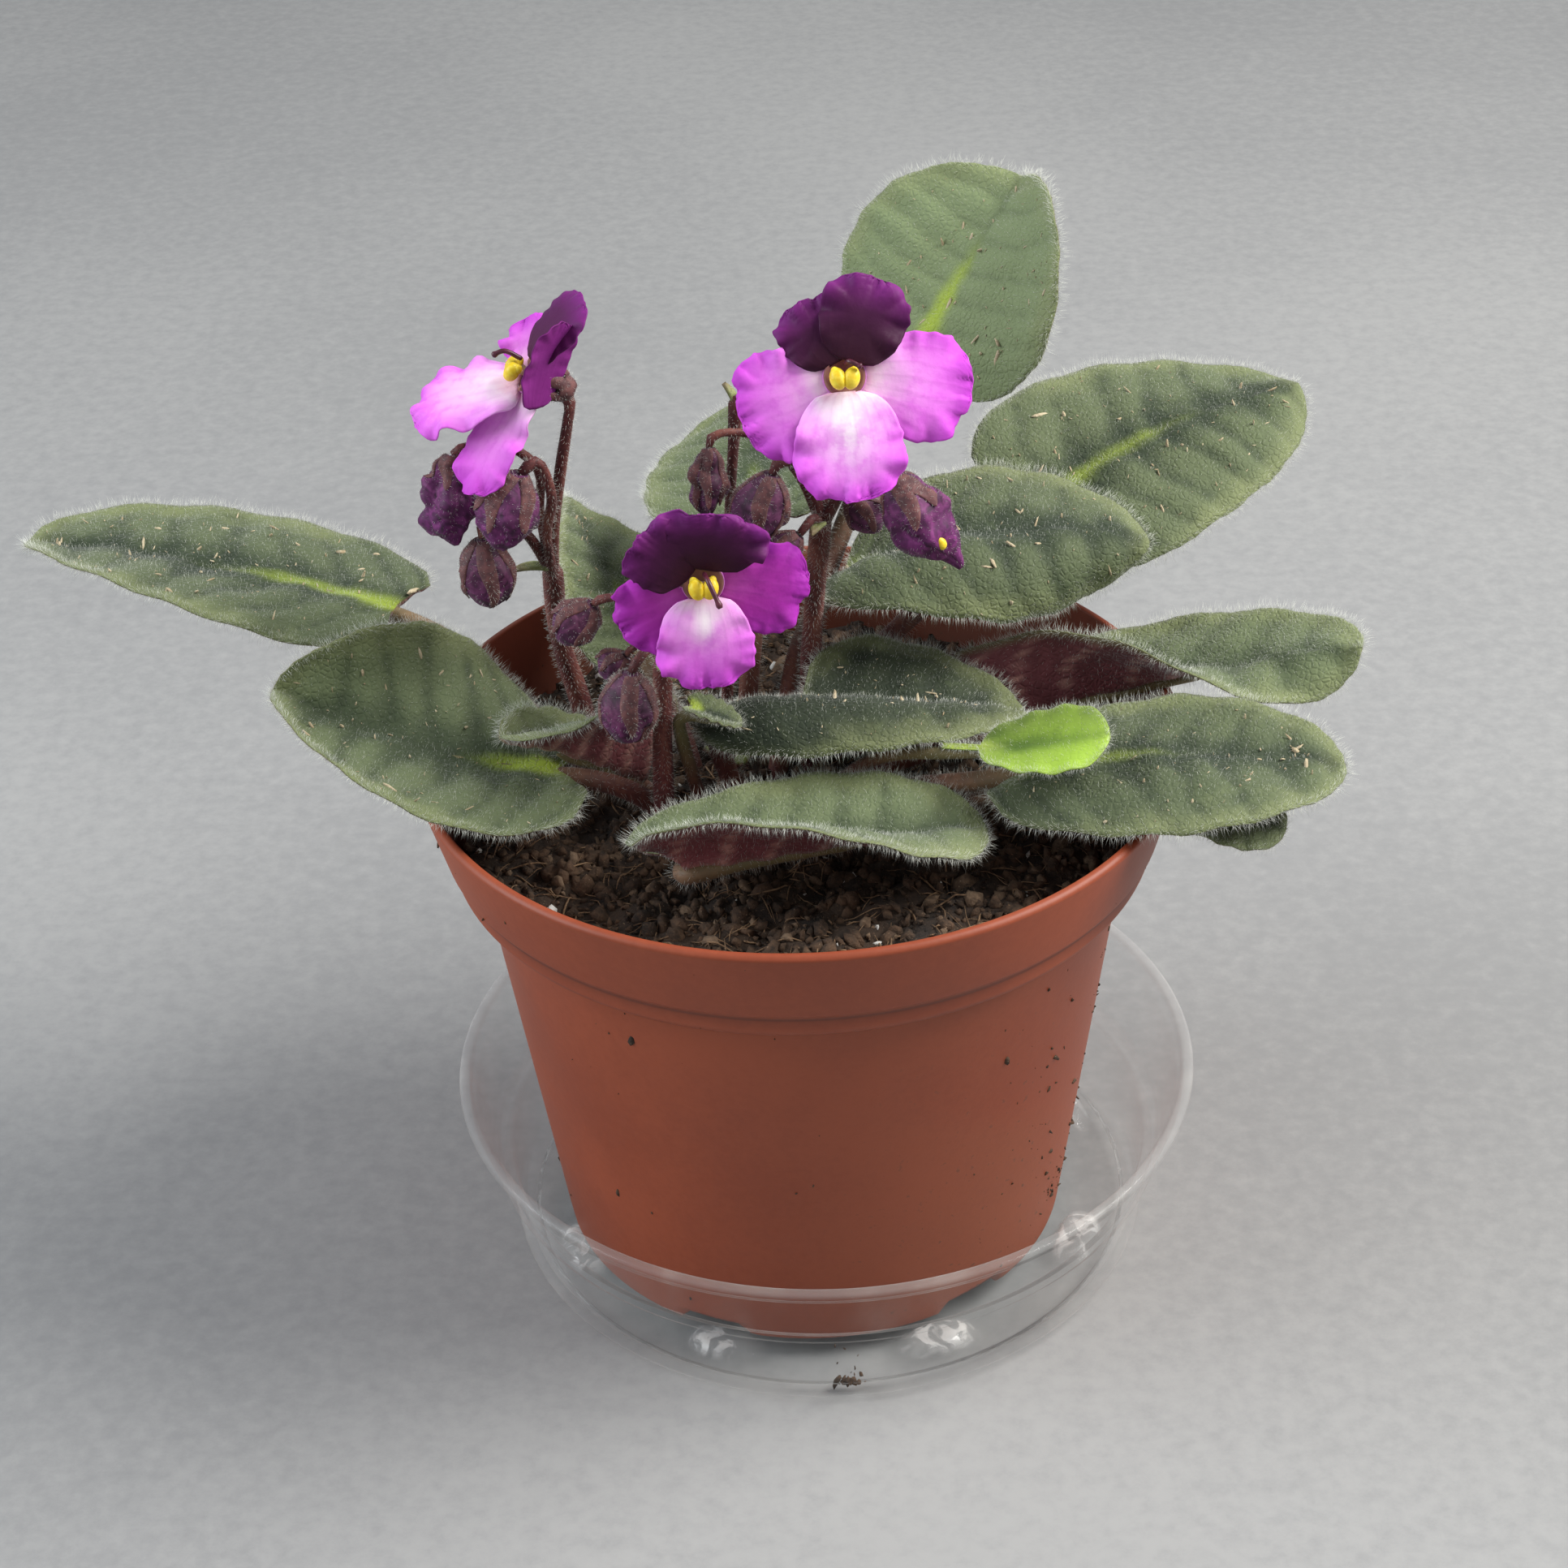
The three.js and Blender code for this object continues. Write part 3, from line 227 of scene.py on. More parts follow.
# closed shells gathered into one mesh, with the numbers that its material reads
class Form:
    def __init__(self):
        self.points = []
        self.faces = []
        self.slots = []
        self.shades = {}
        self.count = 0

    def add(self, points, faces, slot=0, **shades):
        points = np.asarray(points, float)
        if signedVolume(points, faces) < 0:
            faces = [face[::-1] for face in faces]
        self.points.append(points)
        self.faces += [tuple(self.count + corner for corner in face) for face in faces]
        self.slots += [slot] * len(faces)
        for key, value in shades.items():
            values = np.broadcast_to(np.asarray(value, float).reshape(-1), (len(points),))
            self.shades.setdefault(key, []).append((self.count, values))
        self.count += len(points)

    def make(self, name, materials, nodes=()):
        mesh = bpy.data.meshes.new(name)
        mesh.from_pydata((np.concatenate(self.points) * mm).tolist(), [], self.faces)
        for key, runs in self.shades.items():
            values = np.zeros(self.count)
            for start, run in runs:
                values[start : start + len(run)] = run
            mesh.attributes.new(key, "FLOAT", "POINT").data.foreach_set("value", values)
        for material in materials:
            mesh.materials.append(material)
        mesh.polygons.foreach_set("material_index", self.slots)
        mesh.polygons.foreach_set("use_smooth", [True] * len(self.faces))
        mesh.update()
        made = bpy.data.objects.new(name, mesh)
        scene.collection.objects.link(made)
        return settle(made, nodes)


# puts a finished piece on the part's one body and hides the CAD nodes it stands for
def settle(piece, nodes=()):
    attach(piece, "root")
    if nodes:
        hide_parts(*nodes)
    return piece


def signedVolume(points, faces):
    total = 0.0
    corners = {3: [], 4: []}
    for face in faces:
        corners[len(face)].append(face)
    for size, group in corners.items():
        if not group:
            continue
        p = points[np.array(group)]
        for k in range(1, size - 1):
            total += np.einsum("ij,ij->i", p[:, 0], np.cross(p[:, k], p[:, k + 1])).sum()
    return total


# rings of points joined into a tube and closed at both ends
def ringFaces(rings, count):
    faces = []
    for k in range(rings - 1):
        for i in range(count):
            a, b = k * count + i, k * count + (i + 1) % count
            faces.append((a, b, b + count, a + count))
    last = rings * count
    faces += [(i, last, (i + 1) % count) for i in range(count)]
    low = (rings - 1) * count
    faces += [(low + i, low + (i + 1) % count, last + 1) for i in range(count)]
    return faces


def ringShell(rings):
    rings = np.asarray(rings, float)
    ends = [rings[0].mean(0), rings[-1].mean(0)]
    return np.concatenate([rings.reshape(-1, 3), ends]), ringFaces(len(rings), rings.shape[1])


def unit(vectors):
    return vectors / np.maximum(np.linalg.norm(vectors, axis=-1, keepdims=True), 1e-9)


# a smooth curve through points, evenly spaced, by centripetal Catmull-Rom
def smoothPath(points, steps):
    p = np.asarray(points, float)
    p = np.concatenate([[2 * p[0] - p[1]], p, [2 * p[-1] - p[-2]]])
    fine = []
    for k in range(1, len(p) - 2):
        a, b, c, d = p[k - 1 : k + 3]
        t1 = np.linalg.norm(b - a) ** 0.5
        t2 = t1 + np.linalg.norm(c - b) ** 0.5
        t3 = t2 + np.linalg.norm(d - c) ** 0.5
        t = np.linspace(t1, t2, 16, endpoint=False)[:, None]
        ab = a + (b - a) * t / t1
        bc = b + (c - b) * (t - t1) / (t2 - t1)
        cd = c + (d - c) * (t - t2) / (t3 - t2)
        abc = ab + (bc - ab) * t / t2
        bcd = bc + (cd - bc) * (t - t1) / (t3 - t1)
        fine.append(abc + (bcd - abc) * (t - t1) / (t2 - t1))
    fine = np.concatenate(fine + [p[-2:-1]])
    run = np.concatenate([[0], np.cumsum(np.linalg.norm(np.diff(fine, axis=0), axis=1))])
    even = np.linspace(0, run[-1], steps + 1)
    return np.stack([np.interp(even, run, fine[:, k]) for k in range(3)], 1), run[-1]


# a round rod along a path, whose radius is given at each of its points
def rodShell(path, radius, sides):
    path = np.asarray(path, float)
    ahead = unit(np.gradient(path, axis=0))
    side = np.cross(ahead[0], (0, 0, 1))
    if np.linalg.norm(side) < 0.1:
        side = np.cross(ahead[0], (1, 0, 0))
    angles = np.linspace(0, 2 * np.pi, sides, endpoint=False)
    rings = []
    for k in range(len(path)):
        side = side - ahead[k] * np.dot(side, ahead[k])
        side = side / np.linalg.norm(side)
        other = np.cross(ahead[k], side)
        reach = radius[k] * (np.cos(angles)[:, None] * side + np.sin(angles)[:, None] * other)
        rings.append(path[k] + reach)
    return ringShell(rings)


# frame at a place whose third column points along a direction, second as upright as can be
def facing(place, direction):
    front = unit(np.asarray(direction, float))
    right = np.cross((0, 0, 1), front)
    if np.linalg.norm(right) < 0.05:
        right = np.array((1.0, 0, 0))
    right = unit(right)
    return np.asarray(place, float), np.stack([right, np.cross(front, right), front], 1)


def placed(points, at):
    place, turn = at
    return points @ turn.T + place


def smoothStep(value, low, high):
    t = np.clip((value - low) / (high - low), 0, 1)
    return t * t * (3 - 2 * t)


def noiseAt(points, scale, seed):
    shift = Vector((seed * 7.3, seed * 3.1, seed * 5.7))
    flat = points.reshape(-1, 3) * scale
    return np.array([noise.noise(Vector(p) + shift) for p in flat]).reshape(points.shape[:-1])


# 1 at 0, fading on both sides over the width
def bell(value, width):
    return np.exp(-((value / width) ** 2))


# how blades are bent and waved, leaves and petals alike
bladeForm = dict(foldReach=0.12, waves=5, waveHeight=0.3, wavePhase=0.3, waveFrom=5, crowding=1.35)


def ramped(ends, along):
    return ends[0] + (ends[1] - ends[0]) * along


# directions along, to the right of and up from the midrib
def bladeAxes(leaf, along):
    turns = [np.radians(leaf[key][0] + leaf[key][1] * along) for key in ("heading", "rise", "roll")]
    heading, rise, roll = turns
    flat = np.zeros_like(heading)
    forward = np.stack(
        [np.cos(rise) * np.cos(heading), np.cos(rise) * np.sin(heading), np.sin(rise)], -1
    )
    level = np.stack([np.sin(heading), -np.cos(heading), flat], -1)
    upright = np.cross(level, forward)
    c, s = np.cos(roll)[..., None], np.sin(roll)[..., None]
    return forward, level * c + upright * s, upright * c - level * s


def midribPoints(leaf, along):
    fine = np.linspace(0, 1, 401)
    forward = bladeAxes(leaf, (fine[1:] + fine[:-1]) / 2)[0]
    run = np.concatenate([np.zeros((1, 3)), np.cumsum(forward, 0) * leaf["length"] / 400])
    return np.array(leaf["base"]) + np.stack([np.interp(along, fine, run[:, k]) for k in range(3)], -1)


# half the blade's width on one side, whose own values come before those for both
def halfWidth(leaf, along, side):
    widest, shoulder, bare, ratio = (
        leaf.get(key + side, leaf.get(key, usual))
        for key, usual in (("widest", 0.4), ("shoulder", 0.5), ("bare", 0), ("ratio", 1))
    )
    back = np.clip((widest - along) / (widest - bare), 0, 1)
    ahead = np.clip((along - widest) / (1 - widest), 0, 1)
    share = np.where(
        along < widest,
        shoulder + (1 - shoulder) * np.sqrt(1 - back**2),
        np.sqrt(np.clip(1 - ahead ** leaf["blunt"], 0, 1)),
    )
    return 0.5 * leaf["width"] * ratio * share


def notZero(value):
    return np.where(np.abs(value) < 1e-3, 1e-3, value)


# cross-section of one half: it turns up by fold near the midrib and curls on to the margin
def halfSection(out, fold, curl):
    reach = bladeForm["foldReach"]
    bend = notZero(curl)
    turnUp = notZero(fold / reach + bend)
    near = turnUp * np.minimum(out, reach)
    start = fold + bend * reach
    end = fold + bend * np.maximum(out, reach)
    return (
        np.sin(near) / turnUp + (np.sin(end) - np.sin(start)) / bend,
        (1 - np.cos(near)) / turnUp + (np.cos(start) - np.cos(end)) / bend,
    )


# points of the blade's middle surface on a grid, with the side and up directions there
def bladeGrid(leaf, rows, columns):
    along = 1 - (1 - np.arange(rows + 1) / rows) ** bladeForm["crowding"]
    across = np.linspace(-1, 1, columns + 1)
    a, x = np.meshgrid(along, across, indexing="ij")
    out = np.abs(x)
    rightSide = x >= 0
    forward, right, up = bladeAxes(leaf, a)
    fold = np.radians(np.where(rightSide, ramped(leaf["foldRight"], a), ramped(leaf["foldLeft"], a)))
    curl = np.radians(np.where(rightSide, ramped(leaf["curlRight"], a), ramped(leaf["curlLeft"], a)))
    reach = np.where(rightSide, halfWidth(leaf, a, "Right"), halfWidth(leaf, a, "Left"))
    side, height = halfSection(out, fold, curl)
    lobe = leaf["length"] * leaf["lobe"] * (1 - a) ** 3 * out**2 * (3 - 2 * out)
    phase = leaf.get("waves", bladeForm["waves"]) * a + bladeForm["wavePhase"] * np.sign(x)
    wave = leaf.get("wave", bladeForm["waveHeight"]) * out**3 * np.sin(2 * np.pi * phase)
    wave = wave * np.minimum(1, reach / bladeForm["waveFrom"])
    points = midribPoints(leaf, a) - forward * lobe[..., None]
    points += right * (np.where(rightSide, side, -side) * reach)[..., None]
    points += up * (height * reach + wave)[..., None]
    return points, a, x, reach


# normals of the upper face of a grid
def gridNormals(points):
    lengthwise = np.gradient(points, axis=0)
    crosswise = np.gradient(points, axis=1)
    normals = np.cross(crosswise, lengthwise)
    size = np.linalg.norm(normals, axis=-1)
    weak = size < 1e-4 * size.max()
    normals = unit(normals)
    normals[weak] = 0
    normals[-1] = normals[-2].mean(0)
    normals[0] = np.where(weak[0][:, None], normals[1], normals[0])
    return unit(normals)


# how far each grid point is from the margin, and where along the margin its nearest point is
def marginReach(points):
    rim = np.concatenate([points[:, 0], points[::-1, -1]])
    keep = np.concatenate([[True], np.linalg.norm(np.diff(rim, axis=0), axis=1) > 1e-4])
    rim = rim[keep]
    run = np.concatenate([[0], np.cumsum(np.linalg.norm(np.diff(rim, axis=0), axis=1))])
    flat = points.reshape(-1, 1, 3)
    gaps = np.linalg.norm(flat - rim[None], axis=2)
    nearest = gaps.argmin(1)
    return gaps.min(1).reshape(points.shape[:2]), run[nearest].reshape(points.shape[:2])


# directions in which the margin lies, seen from the blade's middle
def outwardFrom(points):
    middle = points[(len(points) - 1) // 2, (points.shape[1] - 1) // 2]
    return unit(points - middle)


# a number for each point of both faces of a sheet, from a grid of numbers for the upper face
def bothFaces(upper, lower=None):
    lower = upper if lower is None else np.broadcast_to(lower, upper.shape)
    return np.concatenate([upper.reshape(-1), lower.reshape(-1)])


# a closed thin shell whose faces lie on both sides of a grid, thickness given at each point
def sheetShell(points, normals, thick):
    rows, columns = points.shape[0] - 1, points.shape[1] - 1
    top = points + normals * (thick / 2)[..., None]
    bottom = points - normals * (thick / 2)[..., None]
    stride = columns + 1
    size = (rows + 1) * stride
    faces = []
    for k in range(rows):
        for i in range(columns):
            a = k * stride + i
            faces.append((a, a + 1, a + stride + 1, a + stride))
            b = a + size
            faces.append((b, b + stride, b + stride + 1, b + 1))
        left = k * stride
        faces.append((left, left + stride, left + stride + size, left + size))
        edge = left + columns
        faces.append((edge + size, edge + stride + size, edge + stride, edge))
    for i in range(columns):
        faces.append((i + 1, i, i + size, i + 1 + size))
        tip = rows * stride + i
        faces.append((tip, tip + 1, tip + 1 + size, tip + size))
    return np.concatenate([top.reshape(-1, 3), bottom.reshape(-1, 3)]), faces


# a profile of (radius, height) turned round the axis, from the axis back to the axis
def turnedShell(profile, sides, shape=None):
    profile = np.asarray(profile, float)
    angles = np.linspace(0, 2 * np.pi, sides, endpoint=False)
    middle = profile[1:-1]
    points = np.stack(
        [
            middle[:, :1] * np.cos(angles), middle[:, :1] * np.sin(angles),
            np.broadcast_to(middle[:, 1:], (len(middle), sides)),
        ],
        -1,
    )
    if shape:
        points = shape(points, angles)
    ends = np.array(((0, 0, profile[0, 1]), (0, 0, profile[-1, 1])))
    return np.concatenate([points.reshape(-1, 3), ends]), ringFaces(len(middle), sides)


# where the camera stands, how it is turned in radians, and its lens
cameraView = dict(
    place=(0, -463.71, 392.648), pitch=0.5785, yaw=-0.006, roll=0.0388, lens=74.534, filmWidth=36,
    clip=(0.01, 50),
)
# soft round lights, their power in watts, all aimed at one place
lightLook = dict(
    key=dict(place=(760, 0, 820), size=700, power=17.5, colour=(1.0, 0.98, 0.94)),
    fill=dict(place=(-900, -80, 560), size=700, power=8, colour=(0.9, 0.95, 1.0)),
)
lightAim = (0, 0, 80)
skyLook = dict(colour=(0.93, 0.96, 1.0), strength=0.465)
floorLook = dict(reach=3000, sink=0.5, dark=(0.262, 0.264, 0.266), light=(0.335, 0.335, 0.332))


def setCamera():
    look = cameraView
    pitch, yaw, roll = look["pitch"], look["yaw"], look["roll"]
    ahead = Vector((math.sin(yaw) * math.cos(pitch), math.cos(yaw) * math.cos(pitch), -math.sin(pitch)))
    right = Vector((math.cos(yaw), -math.sin(yaw), 0))
    down = ahead.cross(right)
    c, s = math.cos(roll), math.sin(roll)
    turned = Matrix((c * right + s * down, s * right - c * down, -ahead)).transposed()
    data = bpy.data.cameras.new("camera")
    data.sensor_width = look["filmWidth"]
    data.lens = look["lens"]
    data.clip_start, data.clip_end = look["clip"]
    camera = bpy.data.objects.new("camera", data)
    camera.matrix_world = Matrix.Translation(Vector(look["place"]) * mm) @ turned.to_4x4()
    scene.collection.objects.link(camera)
    scene.camera = camera


def addLight(name, place, size, power, colour):
    data = bpy.data.lights.new(name, "AREA")
    data.shape = "DISK"
    data.size = size * mm
    data.energy = power
    data.color = colour
    light = bpy.data.objects.new(name, data)
    light.location = Vector(place) * mm
    light.rotation_euler = (Vector(lightAim) * mm - light.location).to_track_quat("-Z", "Y").to_euler()
    scene.collection.objects.link(light)


def setFloor():
    look = floorLook
    f = Finish("floorGrey")
    cloud, weave = f.grain(3, 4), f.grain(260, 4, rough=0.7)
    tint = f.mix(f.between(cloud * 0.6 + weave * 0.4, 0.35, 0.65), look["dark"], look["light"])
    f.coat(Base_Color=tint, Roughness=0.85, Specular_IOR_Level=0.2)
    far, low = look["reach"] * mm, -look["sink"] * mm
    corners = [(-far, -far, low), (far, -far, low), (far, far, low), (-far, far, low)]
    mesh = bpy.data.meshes.new("floor")
    mesh.from_pydata(corners, [], [(0, 1, 2, 3)])
    mesh.materials.append(f.material)
    floor = bpy.data.objects.new("floor", mesh)
    scene.collection.objects.link(floor)


def setSky():
    sky = bpy.data.worlds.new("sky")
    sky.use_nodes = True
    plan = Plan(sky.node_tree)
    plan.tree.nodes.clear()
    sockets = {"Color": (*skyLook["colour"], 1), "Strength": skyLook["strength"]}
    glow = plan.node("ShaderNodeBackground", None, sockets)
    plan.node("ShaderNodeOutputWorld", None, {"Surface": glow})
    scene.world = sky
    scene.view_settings.view_transform = "Standard"


setCamera()
setFloor()
setSky()
for lightName, light in lightLook.items():
    addLight(lightName, **light)
print("stage set")


# spikes that stand on a surface where its "fur" is above 0, "furLength" times the given length
def hairGrowth():
    plan = Growth(
        "hairs",
        dict(Density="Float", Length="Float", Radius="Float", Lean="Float", Seed="Int", Finish="Material"),
    )
    points, normal = plan.scatter(plan.attribute("fur"))
    aside = plan.vector("SCALE", plan.chances((-1, -1, -1), (1, 1, 1), 3), plan.input("Lean"))
    aim = plan.vector("ADD", normal, aside)
    turn = plan.node("FunctionNodeAlignRotationToVector", {"axis": "Z"}, {"Vector": aim})
    length = plan.input("Length") * plan.attribute("furLength") * plan.chance(0.55, 1.15, 5)
    radius = plan.input("Radius")
    size = plan.node("ShaderNodeCombineXYZ", None, {"X": radius, "Y": radius, "Z": length})
    spike = plan.node(
        "GeometryNodeMeshCone",
        {"fill_type": "NGON"},
        {"Vertices": 3, "Radius Top": 0.0, "Radius Bottom": 1.0, "Depth": 1.0},
    )
    return plan.dressed(plan.copies(points, spike, turn, size))


hairs = hairGrowth()


# look: hairs to a square millimetre, their length and radius in millimetres, and how far they lean
def growHairs(name, surface, look, number=0, longer=1.0):
    values = dict(
        Density=look["hairs"] / mm**2, Length=look["hairLength"] * longer * mm,
        Radius=look["hairRadius"] * mm, Lean=look["hairLean"], Seed=look["seed"] + number, Finish=paleHair,
    )
    return settle(growOver(name, surface, hairs, values))


# lumps spread over a surface where its "crumb" is above 0, few of them large, each knocked out of round
def crumbGrowth():
    plan = Growth(
        "crumbs",
        dict(
            Density="Float", Smallest="Float", Largest="Float", Stretch="Float", Knock="Float", Seed="Int",
            Finish="Material",
        ),
    )
    points = plan.scatter(plan.attribute("crumb"))[0]
    smallest = plan.input("Smallest")
    grown = plan.chance(0.0, 1.0, 2) ** 3.0 * (plan.input("Largest") - smallest) + smallest
    turn = plan.chances((-3.1, -3.1, -3.1), (3.1, 3.1, 3.1), 4)
    longer = plan.node("ShaderNodeCombineXYZ", None, {"X": plan.input("Stretch"), "Y": 1.0, "Z": 1.0})
    shape = plan.vector("MULTIPLY", plan.chances((0.45, 0.35, 0.3), (1.5, 1.2, 0.9), 6), longer)
    size = plan.vector("SCALE", shape, grown)
    lump = plan.node("GeometryNodeMeshIcoSphere", None, {"Radius": 1.0, "Subdivisions": 1})
    solid = plan.copies(points, lump, turn, size)
    knock = plan.node("ShaderNodeTexNoise", {"noise_dimensions": "3D"}, {"Scale": 1300.0, "Detail": 1.0}, 1)
    knock = plan.vector("SCALE", plan.vector("SUBTRACT", knock, (0.5, 0.5, 0.5)), plan.input("Knock"))
    return plan.dressed(plan.node("GeometryNodeSetPosition", None, {"Geometry": solid, "Offset": knock}))


crumbs = crumbGrowth()


crumbKnock = 1.1  # how far they are knocked out of round, against the largest radius


# look: crumbs to a square millimetre, the smallest and the largest radius, and how drawn out they are
def growCrumbs(name, surface, look, finish, number=0):
    values = dict(
        Density=look["density"] / mm**2, Smallest=look["smallest"] * mm, Largest=look["largest"] * mm,
        Stretch=look.get("stretch", 1.0), Knock=crumbKnock * look["largest"] * mm, Seed=look["seed"] + number,
        Finish=finish,
    )
    return settle(growOver(name, surface, crumbs, values))


def soilFinish(name, low, high, dots):
    f = Finish(name)
    broad = f.grain(140, 4)
    fine = f.grain(900, 4, rough=0.7)
    speck = f.grain(2200, 2)
    colour = f.mix(f.between(broad * 0.6 + fine * 0.5, 0.38, 0.72), low, high)
    colour = f.mix(f.between(speck, 0.66, 0.76) * 0.7, colour, dots)
    return f.coat(Base_Color=colour, Roughness=fine * 0.2 + 0.78, Normal=f.bump(fine + broad, 0.9, 0.6))


litterSkin = soilFinish("litter", (0.34, 0.26, 0.15), (0.62, 0.53, 0.36), (0.8, 0.72, 0.56))

# leaf blades: how finely they are built, their thickness, veins, margin and hairs
leafLook = dict(
    rows=42, columns=36,
    coarseUnder=22,  # shorter leaves have half as many rows and columns
    midribThick=1.3, marginThick=0.45,
    veins=6, veinSlope=0.26, veinWidth=0.5,  # side veins of each half
    quilting=0.42, swell=0.9,  # how far the blade puffs up between its veins, and unevenly
    crenation=0.26, crenationPitch=3.9,
    hairs=3.0, hairLength=1.75, hairRadius=0.023, hairLean=0.42, seed=0,
    small=dict(veinWidth=0.6, quilting=0.5, swell=0.4, crenation=0, border=0.4, hairLength=0.6, stalk=0.65),
)

# leaf stalks: how they leave the soil, arrive at the blade and run on under it as a ridge
leafStalk = dict(
    radius=1.7, sides=14, steps=44, rootHeight=82, outward=0.25, upward=0.4, steepest=0.8, arriving=0.35,
    arrivingMost=0.5, thinning=0.6, thinOver=0.65, sink=1.35, ridge=1.05, ridgeAt=(0.2, 0.4, 0.6),
)
